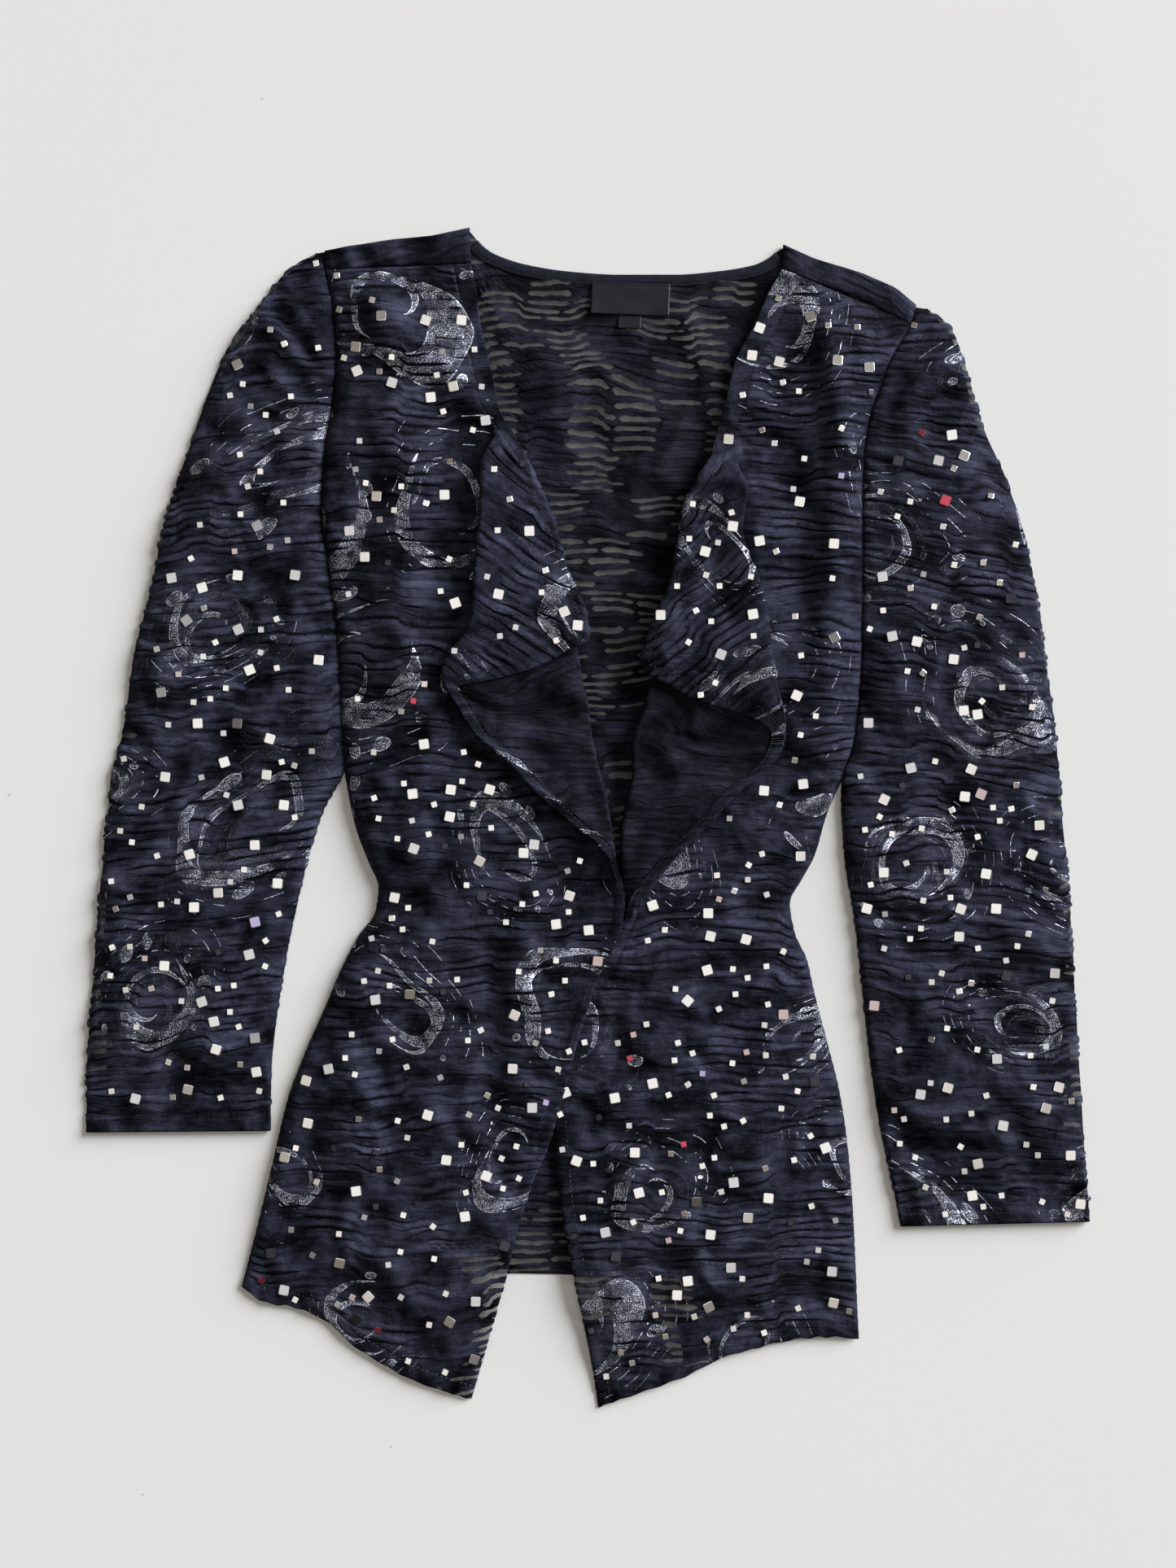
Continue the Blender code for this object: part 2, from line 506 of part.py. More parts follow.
def back_grids():
    """The back's right side on the floor, and a strip over each shoulder's fold down to its seam."""
    neck = [u for u, _ in NECKLINE]
    tip_right, tip_left = RIGHT_SHOULDER[0], LEFT_SHOULDER[-1]
    across_top = [p.x for p in RIGHT_SHOULDER] + neck[1:-1:2] + [p.x for p in LEFT_SHOULDER]
    fold_radius = (SEWN_Z - WALL) / 2 + WALL
    levels = [*np.linspace(0, UNDERARM_LEVEL, BACK_ROWS_BELOW, endpoint=False),
              *np.linspace(UNDERARM_LEVEL, 1, BACK_ROWS_ABOVE)]
    flat = []
    for k, v in enumerate(levels):
        y_right = RIGHT_SIDE[-1].y + v * (tip_right.fold_y - RIGHT_SIDE[-1].y)
        y_left = LEFT_SIDE[-1].y + v * (tip_left.fold_y - LEFT_SIDE[-1].y)
        x_right, x_left = side_x(RIGHT_SIDE, y_right), side_x(LEFT_SIDE, y_left)
        line = []
        for top_x in across_top:
            u = (top_x - tip_right.x) / (tip_left.x - tip_right.x)
            x = x_right + u * (x_left - x_right)
            hem_x = RIGHT_SIDE[-1].x + u * (LEFT_SIDE[-1].x - RIGHT_SIDE[-1].x)
            low = float(smooth_read([p[0] for p in BACK_HEM], [p[1] for p in BACK_HEM], hem_x))
            high = top_edge_y(top_x, fold_radius)
            inside = BACK_MARGIN < u < 1 - BACK_MARGIN and 0 < k < len(levels) - 1
            y = low + v * (high - low)
            line.append((x, y, 0.0, BACK_PUCKER_SHARE * pucker_weight(k, x, y) if inside else 0.0))
        flat.append(line)
    return [flat, shoulder_wrap(RIGHT_SHOULDER, fold_radius), shoulder_wrap(LEFT_SHOULDER, fold_radius)]


def top_edge_y(x, fold_radius):
    """Where the flat part of the back ends: at the shoulder's fold or at the neckline."""
    for shoulder in (RIGHT_SHOULDER, LEFT_SHOULDER):
        if shoulder[0].x <= x <= shoulder[-1].x:
            return float(np.interp(x, [p.x for p in shoulder], [p.fold_y for p in shoulder])) - fold_radius
    return float(smooth_read([p[0] for p in NECKLINE], [p[1] for p in NECKLINE], x))


def shoulder_wrap(shoulder, radius):
    """The back's cloth going up round the shoulder's fold and forward to the seam on the front."""
    rows = []
    for k in range(WRAP_TURNS + 1):
        angle = math.pi * k / WRAP_TURNS
        lean, height = radius * (math.sin(angle) - 1), radius * (1 - math.cos(angle))
        rows.append([(p.x, p.fold_y + lean, height, 0.0) for p in shoulder])
    rows.append([(p.seam_x, p.seam_y + SEAM_GAP, 2 * radius, 0.0) for p in shoulder])
    return rows


def binding_grid():
    """A strip along the back's neckline, made from its points and moved up by a seam gap."""
    xs = np.linspace(NECKLINE[0][0] + BINDING_END, NECKLINE[-1][0] - BINDING_END, BINDING_COLUMNS)
    ys = smooth_read([p[0] for p in NECKLINE], [p[1] for p in NECKLINE], xs)
    slope = np.gradient(ys, xs)
    reach = np.hypot(1.0, slope)
    rows = []
    for inset in (1.0, BINDING_WIDTH / 2 + 0.5, BINDING_WIDTH):
        places = zip(xs, ys, slope, reach)
        rows.append([(x + inset * s / r, y - inset / r, WALL + SEAM_GAP, 0.0) for x, y, s, r in places])
    return rows


def add_label(name, size, place, tilt, collection):
    """A bare woven rectangle with softened edges."""
    bpy.ops.mesh.primitive_cube_add(size=1.0)
    piece = bpy.context.active_object
    piece.name = piece.data.name = name
    for owner in piece.users_collection:
        owner.objects.unlink(piece)
    collection.objects.link(piece)
    piece.data.transform(Matrix.Diagonal((*(side * MM for side in size), 1.0)))
    piece.location = [value * MM for value in place]
    piece.rotation_euler = (math.radians(tilt), 0.0, 0.0)
    bevel = piece.modifiers.new("Edge", "BEVEL")
    bevel.width = 0.15 * MM
    bevel.segments = 1
    piece.data.materials.append(cloth_material(f"{name}_satin", BLACK_SATIN, 0.5))
    return piece


for old in list(bpy.data.objects):
    bpy.data.objects.remove(old, do_unlink=True)
garment = bpy.data.collections.new("waterfall_cardigan")
bpy.context.scene.collection.children.link(garment)

add_sheet("back_panel", back_grids(), garment, BLACK_KNIT, facing=1, raised=BACK_PUCKER)
right_rows = front_rows(RIGHT_FRONT, RIGHT_SIDE, 1, RIGHT_CREASES)
left_rows = front_rows(LEFT_FRONT, LEFT_SIDE, -1, LEFT_CREASES)
add_sheet("front_right", [right_rows], garment, BLACK_KNIT, facing=-1)
add_sheet("front_left", [left_rows], garment, BLACK_KNIT, facing=1)
add_sheet("sleeve_right", [sleeve_rows(RIGHT_SLEEVE, RIGHT_SIDE)], garment, BLACK_KNIT, facing=1)
add_sheet("sleeve_left", [sleeve_rows(LEFT_SLEEVE, LEFT_SIDE)], garment, BLACK_KNIT, facing=-1)
add_sheet("neck_binding", [binding_grid()], garment, BLACK_KNIT, facing=-1, plain=BINDING_WALL, raised=0.0)
add_label("maker_label", LABEL_SIZE, LABEL_PLACE, LABEL_TILT, garment)
add_label("size_tab", TAB_SIZE, TAB_PLACE, 0.0, garment)
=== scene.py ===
"""The looks of an open waterfall cardigan of crinkled stretch knit, laid flat on its back on a pale floor.

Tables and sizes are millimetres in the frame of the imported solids: +Y points to the neck, +X to the
wearer's left, and the floor is z = 0. "Right" and "left" are the wearer's.
"""
import math
from collections import namedtuple

import bmesh
import bpy
import numpy as np
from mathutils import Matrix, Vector


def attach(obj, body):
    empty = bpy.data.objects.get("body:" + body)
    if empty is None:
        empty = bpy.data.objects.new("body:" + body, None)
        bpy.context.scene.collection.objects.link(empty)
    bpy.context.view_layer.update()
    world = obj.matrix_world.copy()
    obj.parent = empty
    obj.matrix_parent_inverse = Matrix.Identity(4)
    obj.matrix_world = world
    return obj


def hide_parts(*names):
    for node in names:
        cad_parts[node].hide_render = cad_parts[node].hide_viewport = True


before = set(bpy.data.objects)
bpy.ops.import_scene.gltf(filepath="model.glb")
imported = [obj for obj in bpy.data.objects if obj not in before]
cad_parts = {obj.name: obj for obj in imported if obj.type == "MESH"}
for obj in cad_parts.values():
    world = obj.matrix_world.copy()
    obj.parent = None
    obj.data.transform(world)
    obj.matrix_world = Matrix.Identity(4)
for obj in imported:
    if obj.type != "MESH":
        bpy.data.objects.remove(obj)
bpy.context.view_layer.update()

scene = bpy.context.scene

# The photo's setting: a painted pale floor seen from straight above, with daylight from a large far window
# past the neck on the wearer's left, a bright ceiling and warm walls. All of it is stage, not the garment.
MM = 0.001
VIEW_LENGTH = 1021.3
VIEW_MIDDLE_Y = 22.3
CAMERA_HEIGHT = 1200.0
FLOOR_SIZE = 8000.0
FLOOR_COLOUR, ROLLER_MARK_COLOUR, DUST_COLOUR = "dad9d5", "d9dad7", "b9b7b2"
WALL_COLOUR, WALL_STRENGTH = "f3e6d6", 0.2
CEILING_COLOUR, CEILING_STRENGTH = "f6f4f1", 1.0
WALL_TOP, CEILING_START = 0.84, 0.96
WINDOW_WAY = (0.68, 0.48, 0.30)
WINDOW_WIDTH_DEGREES = 40.0
WINDOW_COLOUR = "f6f8ff"
WINDOW_STRENGTH = 7.9


def linear(hex_colour):
    """Turns an sRGB hex colour into the linear colour that a shader takes."""
    values = [int(hex_colour[i:i + 2], 16) / 255 for i in (0, 2, 4)]
    return (*(v / 12.92 if v <= 0.04045 else ((v + 0.055) / 1.055) ** 2.4 for v in values), 1.0)


def add(tree, kind, inputs=(), out=0, **settings):
    """Adds a shader node with its settings, sets or links its inputs, and returns one of its outputs."""
    made = tree.nodes.new("ShaderNode" + kind)
    for name, value in settings.items():
        setattr(made, name, value)
    for key, value in inputs.items() if isinstance(inputs, dict) else enumerate(inputs):
        if isinstance(value, bpy.types.NodeSocket):
            tree.links.new(value, made.inputs[key])
        else:
            made.inputs[key].default_value = value
    return made.outputs[out] if made.outputs else made


def new_material(name):
    """Returns a material's empty node tree and its output's surface socket, with the material."""
    material = bpy.data.materials.new(name)
    material.use_nodes = True
    tree = material.node_tree
    tree.nodes.clear()
    surface = add(tree, "OutputMaterial").inputs["Surface"]
    return material, tree, surface


def painted_floor():
    """Matt floor paint: even, with faint roller marks 0.45 m wide and a grain of dust here and there."""
    material, tree, surface = new_material("painted_floor")
    place = add(tree, "NewGeometry", out="Position")
    clouds = add(tree, "TexNoise", {"Vector": place, "Scale": 2.2, "Detail": 3.0}, out="Fac")
    dust = add(tree, "TexVoronoi", {"Vector": place, "Scale": 16.0}, out="Distance")
    speck = add(tree, "MapRange", {"Value": dust, "From Min": 0.012, "From Max": 0.018})
    colour = add(tree, "Mix", {0: clouds, 6: linear(ROLLER_MARK_COLOUR), 7: linear(FLOOR_COLOUR)}, 2,
                 data_type="RGBA")
    colour = add(tree, "Mix", {0: speck, 6: linear(DUST_COLOUR), 7: colour}, 2, data_type="RGBA")
    paint = add(tree, "BsdfPrincipled", {"Base Color": colour, "Roughness": 0.6, "Specular IOR Level": 0.3})
    tree.links.new(paint, surface)
    return material


bpy.ops.mesh.primitive_plane_add(size=FLOOR_SIZE * MM, location=(0.0, 0.0, 0.0))
floor = bpy.context.active_object
floor.name = "floor"
floor.data.materials.append(painted_floor())

room = bpy.data.worlds.new("room")
room.use_nodes = True
around = room.node_tree
way_up = add(around, "SeparateXYZ", (add(around, "TexCoord", out="Generated"),), out="Z")
ceiling = add(around, "MapRange", {"Value": way_up, "From Min": WALL_TOP, "From Max": CEILING_START},
              interpolation_type="SMOOTHSTEP")
glow = add(around, "MapRange", {"Value": ceiling, "To Min": WALL_STRENGTH, "To Max": CEILING_STRENGTH})
tint = add(around, "Mix", {0: ceiling, 6: linear(WALL_COLOUR), 7: linear(CEILING_COLOUR)}, 2,
           data_type="RGBA")
around.links.new(tint, around.nodes["Background"].inputs["Color"])
around.links.new(glow, around.nodes["Background"].inputs["Strength"])
scene.world = room

window = bpy.data.objects.new("far_window", bpy.data.lights.new("far_window", "SUN"))
window.data.energy = WINDOW_STRENGTH
window.data.angle = math.radians(WINDOW_WIDTH_DEGREES)
window.data.color = linear(WINDOW_COLOUR)[:3]
window.rotation_euler = (-Vector(WINDOW_WAY)).to_track_quat("-Z", "Y").to_euler()
scene.collection.objects.link(window)

camera = bpy.data.objects.new("camera", bpy.data.cameras.new("camera"))
camera.data.lens = camera.data.sensor_width * CAMERA_HEIGHT / VIEW_LENGTH
camera.location = (0.0, VIEW_MIDDLE_Y * MM, CAMERA_HEIGHT * MM)
scene.collection.objects.link(camera)
scene.camera = camera
scene.view_settings.view_transform = "Standard"

# The cloth: black polyester and elastane knit with shirring threads in its wrong side, which draw it into
# short puckers across the garment and leave sheer slits between some. It is printed with silver glitter glue.
CLOTH = 0.7
PUCKER_PITCH = 6.0
PUCKER_HEIGHT = 1.05
SLIT_CELL, SLIT_COURSES = 30.0, 5.0
SLIT_YARN_SHARE, SLIT_CLEAR_SHARE = 0.55, 0.5
MOTIF_SPACING, MOTIF_REACH = 132.0, 44.0
GLITTER_RING_PITCH, GLITTER_RING_START = 5.5, 24.0
GLITTER_DOTS_PER_MM = 1.08
DISC_STEPS, DISC_SPACING, DISC_CIRCLE, DISC_RADIUS = 13.0, 13.5, 24.0, 3.8
WELD = 0.02
NOISE_CELLS = 97
KNIT_BLACK, KNIT_GREY = "020207", "3f4153"
WRONG_BLACK, WRONG_GREY = "06060a", "31303f"
# Painted shade in the pucker valleys, and the colour of the shirring threads' own dashes
VALLEY_SHADE_AND_DASH_BLACK = "020206"
MESH_DARK, MESH_LIGHT = "3d3c3e", "918f8b"
# Painted glints of the glitter flakes, from the dimmest to the brightest
GLITTER_DIM_GLINT, GLITTER_BRIGHT_GLINT = "6d7080", "e2e6f0"


def soft_noise(x, y, seed):
    """Smooth noise from -1 to 1 with features one unit wide. Callers divide x and y by their width in mm."""
    lattice = np.random.default_rng(seed).uniform(-1, 1, (NOISE_CELLS, NOISE_CELLS))
    i, j = np.floor(x).astype(int), np.floor(y).astype(int)
    s, t = x - i, y - j
    s, t = s * s * (3 - 2 * s), t * t * (3 - 2 * t)
    i, j, next_i, next_j = (k % NOISE_CELLS for k in (i, j, i + 1, j + 1))
    near = lattice[i, j] * (1 - s) + lattice[next_i, j] * s
    far = lattice[i, next_j] * (1 - s) + lattice[next_i, next_j] * s
    return near * (1 - t) + far * t


def smooth_step(low, high, value):
    """0 at low, 1 at high and smooth between. It falls instead where low is the larger one."""
    t = np.clip((value - low) / (high - low), 0.0, 1.0)
    return t * t * (3 - 2 * t)


def pucker_course(u, v, seed):
    """Counts the puckers down the cloth, a whole number in each valley. They wander, jog aside and merge."""
    ragged = 0.16 * soft_noise(np.zeros_like(u), np.floor(v / PUCKER_PITCH) * 3.7, seed + 9)
    jog = np.tanh(9 * (soft_noise(u / 27, v / 80, seed) + ragged))
    drift = 1.2 * soft_noise(u / 90, v / 48, seed + 1) + 0.36 * soft_noise(u / 17, v / 10, seed + 2)
    return v / PUCKER_PITCH + drift + 0.33 * jog


def pucker_strength(u, v, course, seed):
    """How far the puckers stand up and how deep their valleys are, both from 0 in smooth patches to 1. The
    valleys' depth also sets how dark their painted shade is.
    """
    ragged = 0.14 * soft_noise(np.zeros_like(u), np.floor(course) * 3.1, seed + 6)
    block = smooth_step(-0.12, 0.12, soft_noise(u / 38, v / 55, seed + 5) + ragged)
    patch = soft_noise(u / 34, v / 26, seed + 3)
    each_pucker = soft_noise(u / 21, np.floor(course) * 7.3, seed + 4)
    each_valley = soft_noise(u / 16, np.round(course) * 7.3, seed + 7)
    strength = 0.26 + 0.32 * block + 0.45 * patch + 0.75 * each_pucker
    depth = 0.02 + 0.38 * block + 0.38 * patch + 1.3 * each_valley
    return np.clip(strength, 0, 1), np.clip(depth, 0, 1)


def pucker_profile(course):
    """Height across a pucker: a flat crest, steeper on its upper side."""
    t = course - np.floor(course)
    return (smooth_step(0.0, 0.26, t) * smooth_step(1.0, 0.66, t)) ** 0.75


def glitter_ribbons(tree, radius, way, first, second, third):
    """How far outside the nearer one of two ribbons a point is, in millimetres.

    A wide ribbon winds outwards round the motif, and a narrow one winds the other way inside it. The three
    numbers are the motif's own draws, from 0 to 1.
    """
    middle = add(tree, "Math", (first, 9.0, 15.0), operation="MULTIPLY_ADD")
    start = add(tree, "Math", (second, 9.0, 8.0), operation="MULTIPLY_ADD")
    middle = add(tree, "Math", (middle, way), operation="MULTIPLY")
    middle = add(tree, "Math", (middle, start), operation="ADD")
    taper = add(tree, "Math", (way, math.pi), operation="MULTIPLY")
    taper = add(tree, "Math", (taper,), operation="SINE")
    slimness = add(tree, "Math", (second, 2.0, 1.4), operation="MULTIPLY_ADD")
    crescent = add(tree, "Math", (taper, slimness), operation="POWER")
    fullness = add(tree, "Math", (third, 4.2, 3.6), operation="MULTIPLY_ADD")
    half = add(tree, "Math", (crescent, fullness), operation="MULTIPLY")
    half = add(tree, "Math", (half, 1.3), operation="SUBTRACT")
    wide = add(tree, "Math", (radius, middle), operation="SUBTRACT")
    wide = add(tree, "Math", (add(tree, "Math", (wide,), operation="ABSOLUTE"), half), operation="SUBTRACT")

    back_way = add(tree, "Math", (third, way), operation="SUBTRACT")
    back_way = add(tree, "Math", (back_way,), operation="FRACT")
    middle = add(tree, "Math", (back_way, 22.0, 4.0), operation="MULTIPLY_ADD")
    taper = add(tree, "Math", (back_way, math.pi), operation="MULTIPLY")
    taper = add(tree, "Math", (taper,), operation="SINE")
    narrow = add(tree, "Math", (radius, middle), operation="SUBTRACT")
    narrow = add(tree, "Math", (add(tree, "Math", (narrow,), operation="ABSOLUTE"), 0.9), operation="ADD")
    narrow = add(tree, "Math", (taper, -2.6, narrow), operation="MULTIPLY_ADD")
    return add(tree, "Math", (wide, narrow), operation="MINIMUM")


def glitter_discs(tree, radius, way, number, first):
    """How far outside the discs a point is: they stand on some of the steps of a circle round the ribbons."""
    step = add(tree, "Math", (way, DISC_STEPS, first), operation="MULTIPLY_ADD")
    step_number = add(tree, "Math", (step,), operation="FLOOR")
    draw = add(tree, "TexWhiteNoise", (add(tree, "CombineXYZ", (step_number, number, 0.0)),))
    aside = add(tree, "Math", (add(tree, "Math", (step,), operation="FRACT"), 0.5), operation="SUBTRACT")
    aside = add(tree, "Math", (aside, DISC_SPACING), operation="MULTIPLY")
    circle = add(tree, "Math", (draw, 9.0, DISC_CIRCLE), operation="MULTIPLY_ADD")
    outwards = add(tree, "Math", (radius, circle), operation="SUBTRACT")
    disc = add(tree, "CombineXYZ", (aside, outwards, 0.0))
    disc = add(tree, "VectorMath", (disc,), out="Value", operation="LENGTH")
    size = add(tree, "MapRange", {"Value": draw, "From Min": 0.5, "To Max": DISC_RADIUS})
    return add(tree, "Math", (disc, size), operation="SUBTRACT")


def glitter_rings(tree, radius, way, angle, number, first):
    """Thin broken lines round one side of the motif, one outside the other."""
    ring = add(tree, "Math", (radius, GLITTER_RING_PITCH / 2), operation="PINGPONG")
    ring = add(tree, "Math", (ring, 0.16), operation="LESS_THAN")
    ring_number = add(tree, "Math", (radius, GLITTER_RING_PITCH), operation="DIVIDE")
    ring_number = add(tree, "Math", (ring_number,), operation="ROUND")
    along_ring = add(tree, "Math", (way, 22.0), operation="MULTIPLY")
    dash_place = add(tree, "CombineXYZ", (along_ring, ring_number, number))
    dash = add(tree, "TexNoise", {"Vector": dash_place, "Scale": 1.0, "Detail": 1.0}, out="Fac")
    dash = add(tree, "Math", (dash, 0.52), operation="GREATER_THAN")
    ring = add(tree, "Math", (ring, dash), operation="MULTIPLY")
    turned = add(tree, "Math", (first, -6.3, angle), operation="MULTIPLY_ADD")
    turned = add(tree, "Math", (turned,), operation="COSINE")
    turned = add(tree, "Math", (turned, 0.1), operation="GREATER_THAN")
    far = add(tree, "Math", (radius, GLITTER_RING_START), operation="GREATER_THAN")
    ring_side = add(tree, "Math", (turned, far), operation="MULTIPLY")
    return add(tree, "Math", (ring, ring_side), operation="MULTIPLY")


def add_glitter(tree, cloth_point, valley_shade):
    """Printed glitter: fine dots and thin outlines in ribbons and discs, and broken rings round them.

    Each motif has its own place on the cloth, in millimetres from its middle, and a number that shapes it.
    """
    motif = add(tree, "Attribute", out="Vector", attribute_name="motif_place")
    bend = add(tree, "TexNoise", {"Vector": cloth_point, "Scale": 0.02, "Detail": 0.0}, out="Color")
    bend = add(tree, "VectorMath", (bend, (0.5, 0.5, 0.5)), operation="SUBTRACT")
    motif = add(tree, "VectorMath", {0: bend, 1: (22.0, 22.0, 0.0), 2: motif}, operation="MULTIPLY_ADD")
    x, y, number = add(tree, "SeparateXYZ", (motif,)).node.outputs
    radius = add(tree, "VectorMath", (add(tree, "CombineXYZ", (x, y, 0.0)),), out="Value", operation="LENGTH")
    angle = add(tree, "Math", (y, x), operation="ARCTAN2")
    way = add(tree, "MapRange", {"Value": angle, "From Min": -math.pi, "From Max": math.pi})
    chance = add(tree, "TexWhiteNoise", {"W": number}, out="Color", noise_dimensions="1D")
    first, second, third = add(tree, "SeparateXYZ", (chance,)).node.outputs
    ribbons = glitter_ribbons(tree, radius, way, first, second, third)
    discs = glitter_discs(tree, radius, way, number, first)
    area = add(tree, "Math", (ribbons, discs), operation="MINIMUM")

    # Dots fill both, larger and closer together in some places, where a thin outline shows too
    dots = add(tree, "TexVoronoi", {"Vector": cloth_point, "Scale": GLITTER_DOTS_PER_MM, "Randomness": 0.75},
               out="Distance", voronoi_dimensions="2D")
    rich = add(tree, "TexNoise", {"Vector": cloth_point, "Scale": 0.11, "Detail": 1.0}, out="Fac")
    dot_size = add(tree, "MapRange", {"Value": rich, "From Min": 0.36, "From Max": 0.55, "To Min": 0.13,
                                      "To Max": 0.34})
    dots = add(tree, "Math", (dots, dot_size), operation="LESS_THAN")
    inside = add(tree, "Math", (area, 0.0), operation="LESS_THAN")
    stipple = add(tree, "Math", (dots, inside), operation="MULTIPLY")
    line_width = add(tree, "MapRange", {"Value": rich, "From Min": 0.42, "From Max": 0.5, "To Max": 0.17})
    outline = add(tree, "Math", (area,), operation="ABSOLUTE")
    outline = add(tree, "Math", (outline, line_width), operation="LESS_THAN")
    stipple = add(tree, "Math", (stipple, outline), operation="MAXIMUM")

    rings = glitter_rings(tree, radius, way, angle, number, first)
    silver = add(tree, "Math", (stipple, rings), operation="MAXIMUM")
    near = add(tree, "Math", (radius, MOTIF_REACH), operation="LESS_THAN")
    has_motif = add(tree, "Math", (number, 0.5), operation="GREATER_THAN")
    raised = add(tree, "Math", (valley_shade, 0.25), operation="LESS_THAN")
    for limit in (near, has_motif, raised):
        silver = add(tree, "Math", (silver, limit), operation="MULTIPLY")
    return silver


def shirring_dashes(tree, u, course, cloudy, printed):
    """Rows of tiny dashes where the shirring threads run, one row in each valley and one between."""
    row = add(tree, "Math", (course, 0.25), operation="PINGPONG")
    in_row = add(tree, "Math", (row, 0.035 if printed else 0.05), operation="LESS_THAN")
    dash = add(tree, "Math", (u, 4.0), operation="MULTIPLY")
    dash = add(tree, "Math", (dash,), operation="SINE")
    dash = add(tree, "Math", (dash, 0.1), operation="GREATER_THAN")
    dash = add(tree, "Math", (dash, in_row), operation="MULTIPLY")
    shown = add(tree, "MapRange", {"Value": cloudy, "From Min": 0.4, "From Max": 0.6,
                                   "To Max": 0.55 if printed else 0.95})
    return add(tree, "Math", (dash, shown), operation="MULTIPLY")


def sheer_slits(tree, cloth_point, u, course, from_valley, sheer):
    """Sheer slits: long windows in the valleys, side by side in blocks of a few courses.

    Returns where they are and the noise that makes their edges wavy.
    """
    number = add(tree, "Math", (course,), operation="ROUND")
    group = add(tree, "Math", (number, SLIT_COURSES), operation="DIVIDE")
    group = add(tree, "Math", (group,), operation="FLOOR")
    group_shift = add(tree, "TexWhiteNoise", {"W": group}, noise_dimensions="1D")
    own_shift = add(tree, "TexWhiteNoise", {"W": number}, noise_dimensions="1D")
    cell = add(tree, "Math", (u, SLIT_CELL), operation="DIVIDE")
    cell = add(tree, "Math", (group_shift, 9.0, cell), operation="MULTIPLY_ADD")
    cell = add(tree, "Math", (own_shift, 0.42, cell), operation="MULTIPLY_ADD")
    cell_number = add(tree, "Math", (cell,), operation="FLOOR")
    along_cell = add(tree, "Math", (cell, 0.5), operation="PINGPONG")
    block_pick = add(tree, "TexWhiteNoise", (add(tree, "CombineXYZ", (cell_number, group, 0.0)),))
    own_pick = add(tree, "TexWhiteNoise", (add(tree, "CombineXYZ", (cell_number, number, 5.0)),))
    chosen = add(tree, "Math", (block_pick, sheer), operation="LESS_THAN")
    own_pick = add(tree, "Math", (own_pick, 0.8), operation="LESS_THAN")
    chosen = add(tree, "Math", (chosen, own_pick), operation="MULTIPLY")
    taper = add(tree, "MapRange", {"Value": along_cell, "From Min": 0.02, "From Max": 0.1, "To Max": 0.26})
    wavy = add(tree, "TexNoise", {"Vector": cloth_point, "Scale": 0.13, "Detail": 2.0}, out="Fac")
    uneven = add(tree, "MapRange", {"Value": wavy, "To Min": 0.1, "To Max": 1.7})
    taper = add(tree, "Math", (taper, uneven), operation="MULTIPLY")
    slit = add(tree, "Math", (from_valley, taper), operation="LESS_THAN")
    return add(tree, "Math", (slit, chosen), operation="MULTIPLY"), wavy


